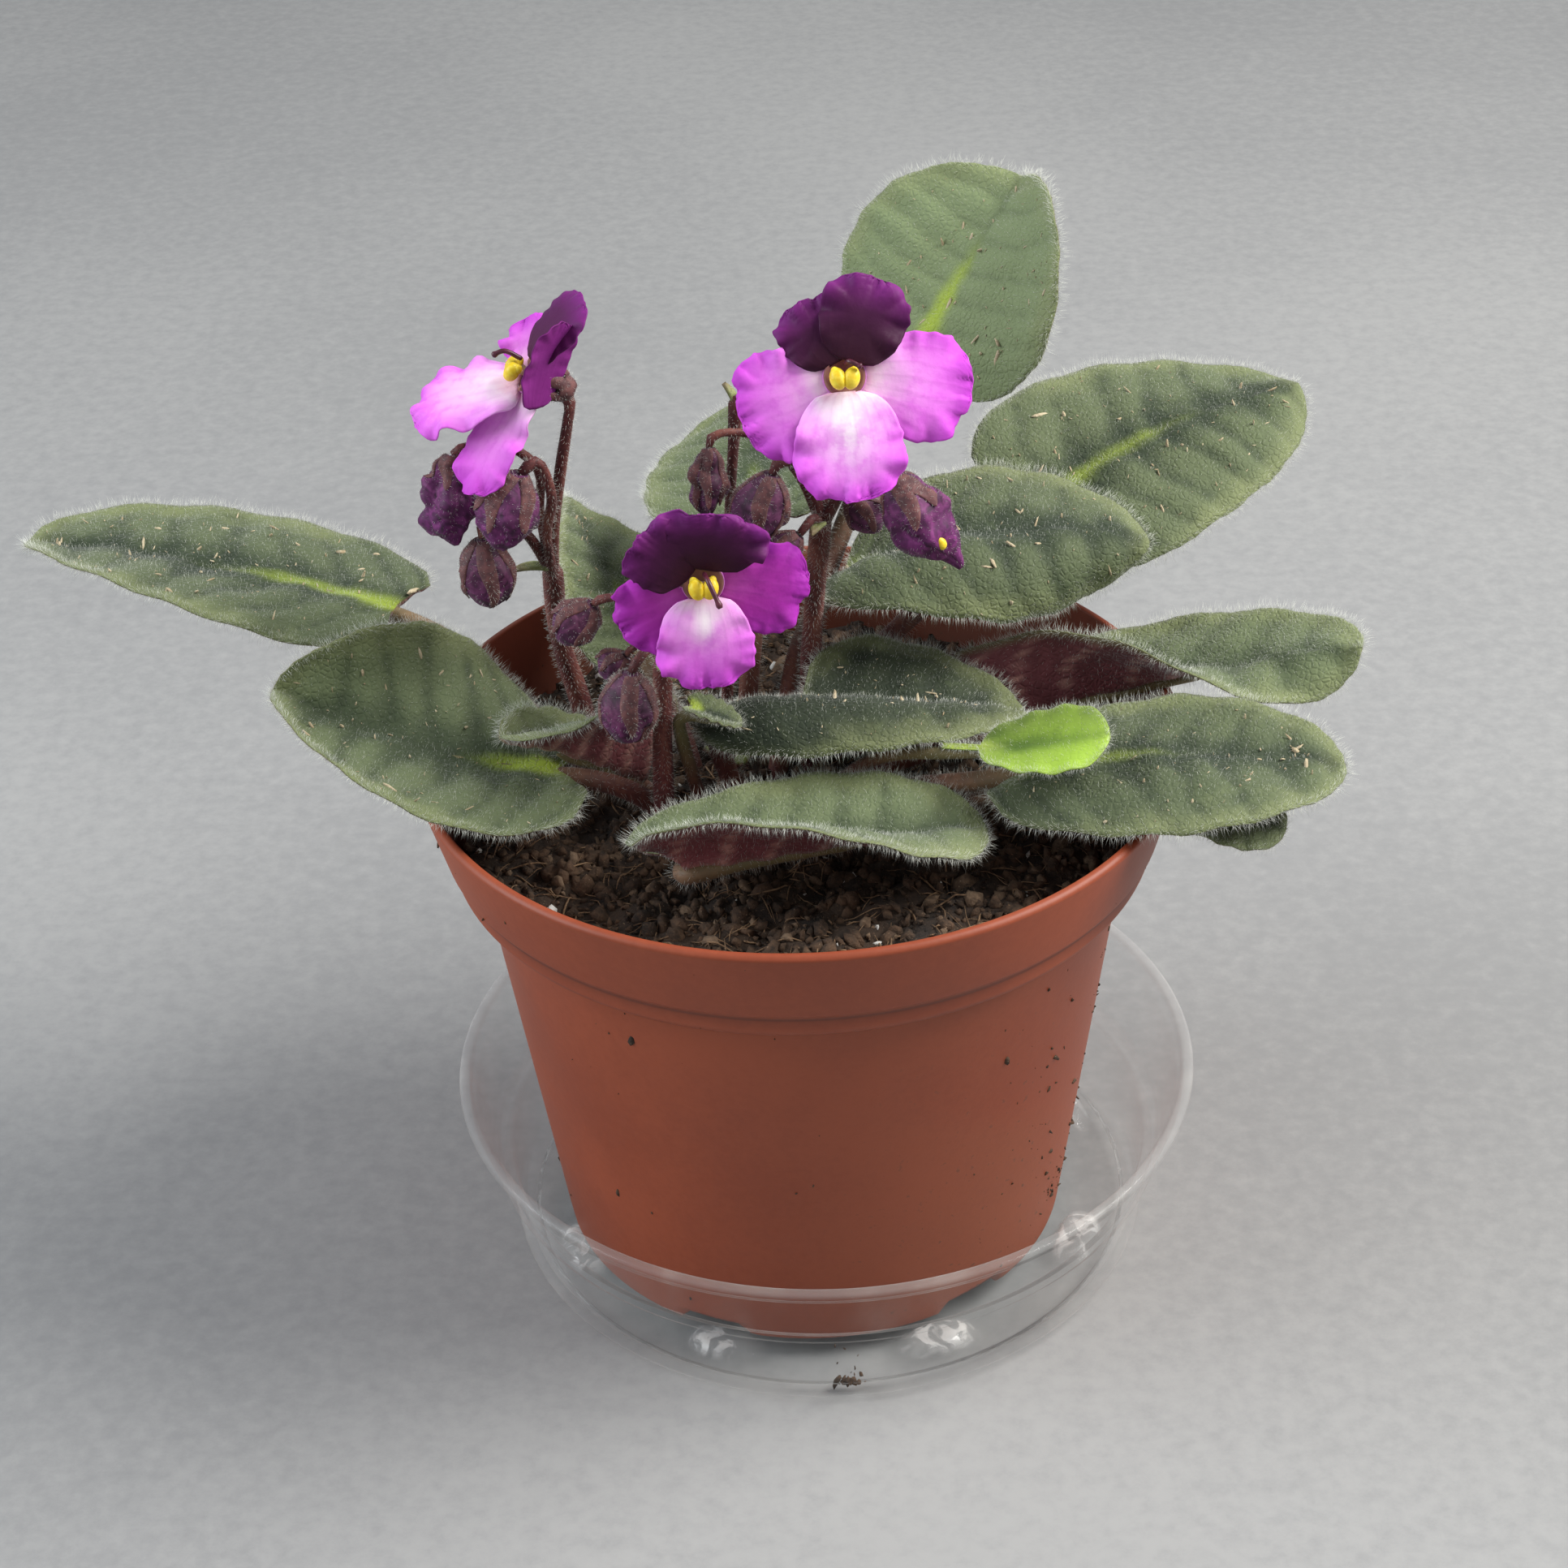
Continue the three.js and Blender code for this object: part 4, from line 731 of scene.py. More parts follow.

# root: where the leaf's stalk leaves the soil, base: where its blade starts, heading, rise, roll: how the
# midrib lies there and how much that changes up to its tip, in degrees, fold and curl: of each half along
# the midrib and on to the margin, at the base and at the tip, widest, shoulder, bare, ratio, lobe, blunt:
# its outline, outward, upward, arriving: the sweep of its stalk, glow, puff, veined: its pattern, pale:
# painted light and shade on it, lighter above 0 and darker below
leafUsual = dict(curlRight=(0, 0), curlLeft=(0, 0), widest=0.41, shoulder=0.5, lobe=0.12, blunt=2.2)
leafShapes = {
    "leaf_far_left": dict(
        root=(-20, 3), base=(-68.4, 20.2, 115.4), heading=(159, 12), rise=(7, -4), roll=(-1, -8),
        length=68, width=39, foldRight=(7, 17), foldLeft=(8, 21), curlRight=(-16, -3), curlLeft=(-25, -8),
        widest=0.39, lobe=0.03, outward=0.5, upward=0.06, glow=0.7, glowShare=0.6, pale=(-0.35, -0.15),
    ),
    "leaf_over_left_rim": dict(
        root=(-19, -6), base=(-40, -12, 102), heading=(182, -16), rise=(8, 19), roll=(12, 0), length=49,
        width=46, foldRight=(-8, 56), foldLeft=(14, 28), curlRight=(-39, 30), curlLeft=(-12, 15),
        shoulder=0.25, lobe=0.1, blunt=1.5, glow=0.4, pale=(0.1, 0.25),
    ),
    "leaf_folded_left": dict(
        root=(-21, -2), base=(-27, -4, 94.6), heading=(208, 3), rise=(42, -16), roll=(-4, 6), length=30,
        width=36, foldRight=(30, 30), foldLeft=(108, 56), curlLeft=(0, -60), widest=0.42, lobe=0.11,
        ratioRight=0.5,
    ),
    "leaf_back_left": dict(
        root=(-17, 7), base=(-27, 27, 104), heading=(126, 6), rise=(44, -2), roll=(-6, -38), length=29,
        width=35, foldRight=(15, 0), foldLeft=(6, 14), glow=0.5, pale=(0.25, 0.25),
    ),
    "leaf_back": dict(
        root=(-10, 9), base=(-6, 25, 128), heading=(90, -3), rise=(14, -4), roll=(15, 16), length=35,
        width=40, foldRight=(10, 10), foldLeft=(13, 2), shoulder=0.49, glow=0.5, pale=(0.25, 0.25),
    ),
    "leaf_tall": dict(
        root=(-6, 9), base=(23, 44, 149), heading=(33, 10), rise=(52, -12), roll=(-7, 8), length=35,
        width=50, foldRight=(-14, 37), foldLeft=(4, 10), widest=0.42, shoulder=0.33, glow=0.8,
        pale=(1.4, 1.6),
    ),
    "leaf_back_right": dict(
        root=(-2, 9), base=(46, 42, 120), heading=(38, -14), rise=(18, -22), roll=(-4, 9), length=56,
        width=45, foldRight=(1, -8), foldLeft=(22, 0), curlRight=(-34, -44), widest=0.25, shoulder=0.48,
        lobe=0.11, glow=0.85, glowShare=0.5, pale=(-0.1, 0.1),
    ),
    "leaf_right": dict(
        root=(-5, 5), base=(11, 19, 121), heading=(2, 0), rise=(23, -42), roll=(3, -7), length=51,
        width=40, foldRight=(51, -1), foldLeft=(16, 10), curlRight=(-83, -150), curlLeft=(-9, -18),
        widest=0.47, shoulder=0.48, lobe=0.13, blunt=1.5, shoulderLeft=0, bareLeft=0.08, glow=0.1,
        pale=(-0.25, -0.25),
    ),
    "leaf_half_folded_right": dict(
        root=(0, -1), base=(39, 9, 96.5), heading=(8, -33), rise=(14, 3), roll=(4, -3), length=59,
        width=33, foldRight=(122, -60), foldLeft=(13, 11), curlRight=(20, 0), curlLeft=(-5, -8),
        widest=0.46, shoulder=0.55, lobe=0.14, blunt=2, widestRight=0.4, shoulderRight=1, ratioRight=0.9,
        furUnder=0.5, glow=0.12, pale=(0.1, 0.3),
    ),
    "leaf_over_right_rim": dict(
        root=(-4, -8.5), base=(37, -20, 104.3), heading=(-4, 4), rise=(10, -21), roll=(9, -6), length=52,
        width=38, foldRight=(-8, 5), foldLeft=(4, 18), curlRight=(-34, -16), widest=0.5, shoulder=0.25,
        lobe=0.13, blunt=1.5, ratioLeft=0.88, glow=0.7, glowShare=0.45, pale=(-0.5, -0.2),
    ),
    "leaf_under_right": dict(
        root=(-7.5, -11.5), base=(60, -27, 102.6), heading=(-13, -1), rise=(-14, 0), roll=(-10, -9),
        length=19, width=16, foldRight=(12, 4), foldLeft=(10, 11), widest=0.43, small=True,
    ),
    "leaf_young_bright": dict(
        root=(-0.5, -5), base=(23.4, -18.4, 108.1), heading=(-16, 2), rise=(2, 18), roll=(-2, -1),
        length=28, width=15, foldRight=(10, -10), foldLeft=(10, 30), widest=0.68, shoulder=0.1, bare=0.22,
        lobe=0, blunt=2.4, small=True, glow=0.5, pale=(-0.9, 0.8), paintedLightAcross=0.6, puff=0.25, veined=0.25,
    ),
    "leaf_centre": dict(
        root=(-9, -5), base=(-10, -3.5, 108.3), heading=(1, 5), rise=(2, -18), roll=(13, 3), length=49,
        width=32, foldRight=(58, 28), foldLeft=(36, 22), curlRight=(-150, -50), widest=0.3, shoulder=0.3,
        lobe=0.16, blunt=2, ratioRight=1.26, widestLeft=0.5, shoulderLeft=0, bareLeft=0.28, furUnder=0.5,
        glow=0.1, pale=(-0.9, -0.6),
    ),
    "leaf_front": dict(
        root=(-13, -10), base=(-19, -37, 98.5), heading=(12, -1), rise=(4, -10), roll=(2, 2), length=50,
        width=34, ratioLeft=0.88, foldRight=(112, 16), foldLeft=(19, 23), curlRight=(-72, -40),
        widest=0.43, shoulder=0.54, lobe=0.16, arriving=0.08, furUnder=0.7, glow=0.1, pale=(0.1, 0.3),
    ),
    "leaf_small_centre": dict(
        root=(-15.5, -7), base=(-17.6, -13.2, 113.8), heading=(-13, 3), rise=(-17, 0), roll=(6, 5),
        length=9, width=9, foldRight=(22, 11), foldLeft=(22, 11), small=True,
    ),
}
leafShapes = {name: {**leafUsual, **leaf} for name, leaf in leafShapes.items()}


def tinted(colour, factor):
    return tuple(min(1, factor * c) for c in colour)


def leafFinish(name, dark, light, edge, rib, under, underVein, gloss=0.0):
    f = Finish(name)
    vein, rim, below = f.shade("vein"), f.shade("rim"), f.shade("below")
    ribGlow, tone, border = f.shade("ribGlow"), f.shade("tone"), f.shade("border")
    broad = f.grain(48, 4)
    patches = f.grain(150, 3, warp=0.8)
    fine = f.grain(420, 4, rough=0.65)
    cells = f.node("ShaderNodeTexVoronoi", {"feature": "DISTANCE_TO_EDGE"}, {"Vector": f.place, "Scale": 900})
    patch = f.between(f.shade("puffed") * 0.5 + broad * 0.3 + patches * 0.14 + fine * 0.2, 0.36, 0.76)
    top = f.mix(patch, dark, light)
    # painted light and shade: the leaf lighter where pale is above 0 and darker where it is below
    pale = f.shade("pale")
    top = f.mix(pale * (patches * 0.5 + 0.6), top, tinted(light, 1.9))
    top = f.mix(f.between(pale * -1.0, 0.0, 1.0), top, tinted(dark, 0.6))
    top = f.mix(f.between(fine, 0.5, 0.8) * 0.22, top, tinted(light, 1.5))
    # painted shade in the furrows along the veins
    top = f.mix(vein * 0.28, top, tinted(dark, 0.6))
    top = f.mix(f.between(border + (patches - 0.5) * 1.2, 0.1, 1.2) * 0.6, top, edge)
    top = f.mix(rim * 0.22, top, tinted(edge, 1.35))
    top = f.mix(f.between(ribGlow + (patches - 0.5) * 0.3, 0.02, 1.0) * 0.9, top, rib)
    top = f.mix(tone, top, rib)
    lower = f.mix(f.between(broad * 0.6 + fine * 0.4, 0.35, 0.65), under, tinted(under, 0.6))
    lower = f.mix(vein * 0.85, lower, underVein)
    lower = f.mix(rim * 0.75, lower, tinted(edge, 0.8))
    colour = f.mix(below, top, lower)
    height = f.between(cells, 0.0, 0.25) * 0.4 + fine * 0.8
    return f.coat(
        Base_Color=colour,
        Roughness=fine * 0.25 + 0.6 - 0.28 * gloss,
        Normal=f.bump(height, 0.75 - 0.5 * gloss, 0.35),
        Sheen_Weight=0.16,
        Sheen_Roughness=0.4,
        Specular_IOR_Level=0.3 + 0.2 * gloss,
    )


leafStalkTones = dict(
    streaks=[(0, (0.055, 0.014, 0.014)), (0.5, (0.125, 0.034, 0.028)), (1, (0.21, 0.08, 0.05))],
    blade=(0.17, 0.16, 0.06),  # under the blade
)


def leafStalkFinish():
    f = Finish("leafStalk")
    streaks = f.grain(160, 3, stretch=(1, 1, 0.25))
    fine = f.grain(1500, 2)
    colour = f.ramp(f.between(streaks * 0.8 + fine * 0.3, 0.35, 0.75), leafStalkTones["streaks"])
    colour = f.mix(f.between(f.shade("along"), 0.3, 0.75) * 0.75, colour, leafStalkTones["blade"])
    bump = f.bump(streaks + fine * 0.5, 0.5, 0.2)
    return f.coat(Base_Color=colour, Roughness=fine * 0.3 + 0.5, Normal=bump, Sheen_Weight=0.12)


def hairFinish(name, colour):
    f = Finish(name)
    tint = f.mix(f.grain(300, 2), colour, tinted(colour, 0.8))
    return f.coat(Base_Color=tint, Roughness=0.55, Specular_IOR_Level=0.3)


leafTones = dict(
    dark=(0.024, 0.038, 0.019), light=(0.106, 0.134, 0.065), edge=(0.23, 0.26, 0.115), rib=(0.36, 0.47, 0.05),
    under=(0.21, 0.06, 0.068), underVein=(0.5, 0.27, 0.22),
)
youngTones = dict(
    dark=(0.07, 0.14, 0.012), light=(0.19, 0.3, 0.028), edge=(0.32, 0.42, 0.09), rib=(0.36, 0.46, 0.08),
    under=(0.2, 0.3, 0.04), underVein=(0.42, 0.5, 0.12), gloss=1.0,
)
leafGreen = leafFinish("leafGreen", **leafTones)
youngGreen = leafFinish("youngLeafGreen", **youngTones)
leafStalkSkin = leafStalkFinish()
paleHair = hairFinish("paleHair", (0.86, 0.88, 0.8))


# the leaf's stalk: out of the soil, over to the blade and on under it as its ridge
def leafStalkPath(leaf, steps):
    root = np.array((*leaf["root"], leafStalk["rootHeight"]), float)
    axes = bladeAxes(leaf, np.zeros(1))
    forward, up = axes[0][0], axes[2][0]
    base = np.array(leaf["base"]) - up * leafStalk["sink"]
    span = base - root
    reach = np.linalg.norm(span)
    outward = leaf.get("outward", leafStalk["outward"])
    upward = leaf.get("upward", leafStalk["upward"])
    upward = min(upward * reach, leafStalk["steepest"] * span[2])
    rising = np.array((span[0] * outward, span[1] * outward, upward))
    arriving = leaf.get("arriving", leafStalk["arriving"]) * reach
    arriving = forward * min(arriving, leafStalk["arrivingMost"] * leaf["length"])
    t = np.linspace(0, 1, 6)[:, None]
    flight = (
        root * (1 - t) ** 3
        + 3 * (root + rising) * t * (1 - t) ** 2
        + 3 * (base - arriving) * t * t * (1 - t)
        + base * t**3
    )
    at = np.array(leafStalk["ridgeAt"])
    under = midribPoints(leaf, at) - bladeAxes(leaf, at)[2] * leafStalk["ridge"]
    return smoothPath(np.concatenate([flight, under]), steps)


# what a value of small leaves is, against the others
def smallShare(leaf, key):
    return leafLook["small"][key] if leaf.get("small") else 1


# side veins run from the midrib forwards to the margin: the veins, the midrib, and the fields between them
def leafVeins(leaf, points, along, across, reach, edge):
    look = leafLook
    out = np.abs(across)
    slant = look["veinSlope"] * out**1.25
    stray = 0.3 * noiseAt(points, 0.09, 11)
    phase = look["veins"] * (along - slant) / (1 - slant) + 0.35 * (across > 0) + stray
    spacing = leaf["length"] * (1 - slant) / look["veins"]
    gap = np.abs(phase - np.round(phase)) * spacing
    width = look["veinWidth"] * (1.25 - 0.6 * out) * smallShare(leaf, "veinWidth")
    vein = bell(gap, width) * smoothStep(edge, 0.3, 2.5)
    midrib = bell(out * reach, 1.0)
    vein = np.maximum(vein * (1 - 0.3 * out) * leaf.get("veined", 1), midrib)
    return vein, midrib, smoothStep(gap, 0, 0.45 * spacing)


# how far a blade puffs up between its veins and swells
def leafLift(leaf, points, reach, edge, midrib, between):
    look = leafLook
    fade = smoothStep(edge, 0, 3) * smoothStep(reach, 1, 6)
    puff = look["quilting"] * smallShare(leaf, "quilting") * leaf.get("puff", 1)
    lift = puff * (between - 0.5) * fade
    lift -= 0.5 * puff * midrib * fade
    swell = look["swell"] * noiseAt(points, 0.075, 7) + 0.4 * noiseAt(points, 0.2, 3)
    return lift + swell * fade * smallShare(leaf, "swell")


# how far the rounded teeth stand out of the margin
def leafTeeth(leaf, along, edge, around):
    look = leafLook
    teeth = np.abs(np.sin(np.pi * around / look["crenationPitch"])) - 0.6
    reachOut = look["crenation"] * smallShare(leaf, "crenation") * teeth * bell(edge, 0.9)
    return reachOut * smoothStep(along, 0.02, 0.15)


def addBlade(form, leaf):
    look = leafLook
    coarse = 2 if leaf["length"] < look["coarseUnder"] else 1
    points, along, across, reach = bladeGrid(leaf, look["rows"] // coarse, look["columns"] // coarse)
    out = np.abs(across)
    normals = gridNormals(points)
    edge, around = marginReach(points)
    vein, midrib, between = leafVeins(leaf, points, along, across, reach, edge)
    points = points + normals * leafLift(leaf, points, reach, edge, midrib, between)[..., None]
    points = points + outwardFrom(points) * leafTeeth(leaf, along, edge, around)[..., None]
    thick = ramped((look["midribThick"], look["marginThick"]), np.minimum(1, out * 1.3))
    thick = thick * (0.55 + 0.45 * smoothStep(edge, 0, 1.0))
    shell, faces = sheetShell(points, normals, thick)
    # the glow is the light green along the midrib, strongest by the stalk
    glowEnd = leaf.get("glow", 0.35)
    glow = bell(out * reach, 2.3 - 1.4 * along) * (1 - smoothStep(along, 0.25 * glowEnd, glowEnd))
    glow = glow * leaf.get("glowShare", 0.95) + 0.12 * bell(along, 0.12) * (1 - out)
    border = bell(edge, 4.6) * smoothStep(along, 0.1, 0.4) * smallShare(leaf, "border")
    field = 1 - (1 - between) * leaf.get("veined", 1)
    puffed = (0.25 + 0.75 * smoothStep(out, 0, 0.55)) * (0.5 + 0.5 * field)
    # painted light and shade, changing along the blade and, on some leaves, from side to side
    pale = ramped(leaf.get("pale", (0, 0)), along) + leaf.get("paintedLightAcross", 0) * across
    fringe = bell(edge, 0.7)
    underFur = 0.5 * leaf.get("furUnder", 0.25) + 0.15 * vein + 4 * fringe
    form.add(
        shell, faces, 0, vein=bothFaces(vein), rim=bothFaces(bell(edge, 0.9)), below=bothFaces(0 * edge, 1.0),
        ribGlow=bothFaces(glow, 0.0), border=bothFaces(border, 0.0), pale=bothFaces(pale, 0.0),
        puffed=bothFaces(puffed, 0.0), tone=0.0, fur=bothFaces(0.42 + 4.4 * fringe, underFur),
        furLength=bothFaces(0.5 + 0.85 * fringe, 0.6 + 0.8 * fringe),
        crumb=bothFaces(smoothStep(edge, 1, 4), 0.0),
    )


# how far along a rod each of its points is
def rodAlong(share, sides):
    return np.append(np.repeat(share, sides), (0, 1))


def addLeafStalk(form, leaf):
    look = leafStalk
    path, length = leafStalkPath(leaf, look["steps"])
    thinFrom = 1 - look["thinOver"] * leaf["length"] / length
    share = np.linspace(0, 1, look["steps"] + 1)
    thinning = np.clip((share - thinFrom) / (1 - thinFrom), 0, 1)
    radius = look["radius"] * smallShare(leaf, "stalk") * (1 - look["thinning"] * thinning)
    radius = radius * (1 + 0.04 * np.sin(9 * share + leaf["length"]))
    radius[-3:] *= np.array((0.8, 0.55, 0.25))  # runs out under the blade
    shell, faces = rodShell(path, radius, look["sides"])
    along = rodAlong(share, look["sides"])
    form.add(shell, faces, 1, along=along, fur=0.55 * smoothStep(along, 0.08, 0.2), furLength=0.95)


# dry bits that lie on some leaves
litterLook = dict(
    leaves=(
        "leaf_far_left", "leaf_over_left_rim", "leaf_back_left", "leaf_back_right", "leaf_right",
        "leaf_centre", "leaf_over_right_rim", "leaf_tall",
    ),
    density=0.055, smallest=0.12, largest=0.42, stretch=3.6, seed=20,
)


def buildLeaves():
    for number, (name, leaf) in enumerate(leafShapes.items()):
        form = Form()
        addBlade(form, leaf)
        addLeafStalk(form, leaf)
        young = name == "leaf_young_bright"
        skin = youngGreen if young else leafGreen
        made = form.make(name + "_fine", [skin, leafStalkSkin], (name,))
        growHairs(name + "_hairs", made, leafLook, number, smallShare(leaf, "hairLength"))
        if name in litterLook["leaves"]:
            growCrumbs(name + "_litter", made, litterLook, litterSkin, number)


buildLeaves()
print("leaves made")

# flower stalks: a route that starts under twigUnder in radius is a twig
stalkLook = dict(
    sides=14, twigSides=10, twigUnder=1.5, step=1.6, hairs=2.5, hairLength=1.05, hairRadius=0.024,
    hairLean=0.35, seed=40,
)
# the cup behind a bloom and the sepals round it, spread and bendIn in degrees
calyxLook = dict(
    size=6, mouth=0.42, foot=0.22, depth=0.4, sides=15, ridge=0.06, sepals=5, sepalLength=6.0, sepalWidth=2.4,
    spread=-32, bendIn=46,
)
# small pointed blades: bracts, sepals and the crown's first leaves
bractForm = dict(
    roll=(0, 0), foldRight=(20, 20), foldLeft=(20, 20), curlRight=(0, 0), curlLeft=(0, 0), widest=0.4,
    shoulder=0.6, lobe=0, blunt=1.3, wave=0, slender=0.45,
)

# each flower stalk: its stem, then a twig to its bloom and to each of its buds
stalkRoutes = {
    "stalk_left": [
        dict(through=((-35, 16, 82), (-37.5, 15.5, 98), (-40, 13, 113), (-40, 9, 129)), radius=(1.9, 1.7)),
        dict(
            through=((-40, 9, 127), (-39, 7, 137), (-37, 5, 149), (-35.2, 3.4, 158), (-34.6, 3, 162)),
            radius=(1, 0.9), bloom="bloom_left",
        ),
        dict(
            through=(
                (-40, 9, 127), (-41, 6, 141), (-40.5, 4.5, 149), (-43.5, 4, 153), (-48, 3.5, 154.5),
                (-52, 3, 154.5),
            ),
            radius=(0.9, 0.7), bud="bud_left_wilted",
        ),
        dict(
            through=((-40, 9, 127), (-40, 4, 138), (-38.4, 0, 147), (-40.2, -1.6, 154)),
            radius=(0.9, 0.8), bud="bud_left_big",
        ),
        dict(
            through=((-40, 9, 127), (-43, 6, 136), (-47, 3, 142), (-50, 1, 141)), radius=(0.9, 0.8),
            bud="bud_left_low",
        ),
    ],
    "stalk_right": [
        dict(
            through=((1, 7, 82), (2, 7.6, 94), (2.6, 9.4, 109), (3.6, 6, 124), (5, 1, 141)),
            radius=(1.9, 1.7),
        ),
        dict(
            through=((5, 1, 139), (6, 2, 150), (8, 1, 160), (9, -2, 167)), radius=(1, 0.9),
            bloom="bloom_right",
        ),
        dict(
            through=((5, 1, 139), (3.5, 0, 147), (1, -1, 152), (-2, -2, 152)), radius=(1, 0.8),
            bud="bud_right_large",
        ),
        dict(through=((5, 1, 139), (3.5, -2, 142), (2, -3.5, 141)), radius=(0.9, 0.7), bud="bud_right_low"),
        dict(
            through=((5, 1, 139), (1, 4, 148), (-6, 3, 155), (-12, 1, 156)), radius=(0.9, 0.6),
            bud="bud_right_withered",
        ),
        dict(through=((5, 1, 139), (7, 2, 144), (9.5, 3, 145.5)), radius=(0.9, 0.7), bud="bud_right_rear"),
        dict(
            through=((5, 1, 139), (9, -1, 147), (13, -2, 151), (16, -2.6, 151)), radius=(1, 0.8),
            bud="bud_right_opening",
        ),
    ],
    "stalk_front": [
        dict(through=((-23, -12.5, 82), (-22.5, -12.5, 105), (-21.5, -12, 123)), radius=(1.8, 1.6)),
        dict(
            through=((-21.5, -12, 121), (-20, -11, 130), (-17, -12, 138), (-14.7, -15.5, 141.6)),
            radius=(1, 0.9), bloom="bloom_front",
        ),
        dict(
            through=((-21.5, -12, 121), (-24, -10.5, 129), (-28, -9, 132.5), (-31.5, -8, 131.8)),
            radius=(0.9, 0.7), bud="bud_front_left",
        ),
        dict(
            through=((-21.5, -12, 121), (-24, -10.5, 125), (-26.8, -10, 123.4)), radius=(0.8, 0.6),
            bud="bud_front_round",
        ),
        dict(
            through=((-21.5, -12, 121), (-22.5, -15, 127), (-25, -20, 127.6)), radius=(0.9, 0.8),
            bud="bud_front_hanging",
        ),
    ],
    "stalk_slim": [
        dict(through=((-13, 8.5, 82), (-11, 7.5, 120), (-10, 7, 139), (-8, 7, 160)), radius=(1.1, 0.9)),
    ],
}

# small bracts on the stalks, heading and rise in degrees
bractPlaces = {
    "stalk_left": [dict(base=(-40.5, 8, 129), heading=195, rise=20, length=6)],
    "stalk_right": [dict(base=(5, 0, 140), heading=250, rise=20, length=5)],
    "stalk_front": [dict(base=(-22, -13, 122), heading=300, rise=10, length=5)],
    "stalk_slim": [
        dict(base=(-8.2, 7, 158.5), heading=150, rise=70, length=4),
        dict(base=(-7.8, 7, 158.5), heading=330, rise=75, length=4),
    ],
}

# buds from base to tip. crumple: how uneven, crease: how wrinkled, purple: how vivid, sepalReach: how much
# of it the sepals cover, beak: how its end is drawn out, in millimetres, anther: where one shows
budShapes = {
    "bud_left_wilted": dict(
        base=(-54.2, 2.8, 153.4), tip=(-56, 2, 138), radius=4.2, crumple=0.28, purple=1.0, sepalReach=0.3,
        crease=0.3,
    ),
    "bud_left_big": dict(
        base=(-43, -2.8, 152.4), tip=(-47.4, -3.8, 140), radius=5, crumple=0.05, purple=0.75,
        sepalReach=0.66, crease=0.07,
    ),
    "bud_left_low": dict(
        base=(-50.2, 0.7, 139), tip=(-49.8, 0, 127), radius=4.6, crumple=0.05, purple=0.2, sepalReach=0.95,
        crease=0.05,
    ),
    "bud_right_large": dict(
        base=(-2.8, -2.4, 150.4), tip=(-6.6, -3.6, 139.8), radius=4.5, crumple=0.05, purple=0.3,
        sepalReach=0.8, crease=0.05,
    ),
    "bud_right_low": dict(base=(1.2, -4, 140.2), tip=(-4.6, -4.6, 134.8), radius=3, crumple=0.05),
    "bud_right_withered": dict(
        base=(-12.8, 0.8, 154), tip=(-13.6, 0, 142.6), radius=3, crumple=0.2, purple=0.0, sepalReach=0.9,
        crease=0.25,
    ),
    "bud_right_rear": dict(base=(10, 3.2, 144.3), tip=(14, 3.6, 136.4), radius=3.3, crumple=0.05),
    "bud_right_opening": dict(
        base=(16.6, -2.8, 149.6), tip=(25, -4.6, 134.6), radius=5.2, crumple=0.1, purple=0.9,
        sepalReach=0.45, crease=0.12, beak=(-0.6, 2.0, 1.6), anther=(-3.5, 2.3, 12.4),
    ),
    "bud_front_left": dict(base=(-32.6, -7.8, 130.8), tip=(-38.2, -7, 124.2), radius=3.9, crumple=0.05),
    "bud_front_round": dict(base=(-27.6, -9.8, 122.3), tip=(-31.6, -9.4, 118.6), radius=2.8, crumple=0.04),
    "bud_front_hanging": dict(
        base=(-26.4, -21, 125.6), tip=(-27.8, -21.8, 113.6), radius=4.7, crumple=0.06, purple=0.2,
        sepalReach=0.9, crease=0.05,
    ),
}

# blooms: where the throat is and which way it faces, then the lobes, each turned round the throat and
# leaning forwards in degrees, on a layer of its own
bloomShapes = {
    "bloom_left": dict(
        throat=(-40.6, 3, 167.2), azimuth=178, elevation=26, styleTip=(0.3, 0.6, 6.5),
        lobes={
            "rear_upper": dict(
                turn=96, length=15.5, width=12.5, lean=-13, layer=0.7, roll=(-20, 0), ruffle=0.3,
            ),
            "near_upper": dict(
                turn=97, length=17.5, width=9.5, lean=9, layer=-2.6, roll=(44, 0), foot=(5, -2.8),
                ruffle=0.3,
            ),
            "far_side": dict(turn=152, length=11.5, width=12, lean=24, layer=-0.7, roll=(-40, 0)),
            "near_side": dict(turn=-64, length=21.5, width=10.5, lean=12, layer=-0.7, roll=(48, 0)),
            "lip": dict(turn=-98, length=21.5, width=16, lean=52, layer=0.5, roll=(10, 0)),
        },
    ),
    "bloom_right": dict(
        throat=(9, -12, 172), azimuth=-90, elevation=28, styleTip=(2.6, 1.2, 4),
        lobes={
            "upper_left": dict(turn=116, length=13.4, width=13.5, lean=0, layer=0.5),
            "upper_right": dict(turn=70, length=16, width=14, lean=4, layer=1.1),
            "side_left": dict(turn=202, length=17.6, width=17.5, lean=2, layer=-0.7),
            "side_right": dict(turn=-9, length=20, width=17, lean=0, layer=-0.7),
            "lip": dict(turn=-88, length=19.3, width=17.5, lean=6, layer=0.5),
        },
    ),
    "bloom_front": dict(
        throat=(-14, -25, 144), azimuth=-87, elevation=15, styleTip=(2.4, -2.8, 5.8),
        lobes={
            "upper_left": dict(turn=140, length=13.5, width=12, lean=20, layer=0.7),
            "upper_right": dict(turn=78, length=12.6, width=18.5, lean=26, layer=0.9),
            "side_left": dict(turn=211, length=15.5, width=13, lean=0, layer=-0.7),
            "side_right": dict(turn=-11, length=17, width=15, lean=-4, layer=-0.7),
            "lip": dict(turn=-91, length=17.2, width=15.5, lean=4, layer=0.5),
        },
    ),
}

tubeLength = 5  # of a bloom, behind its throat


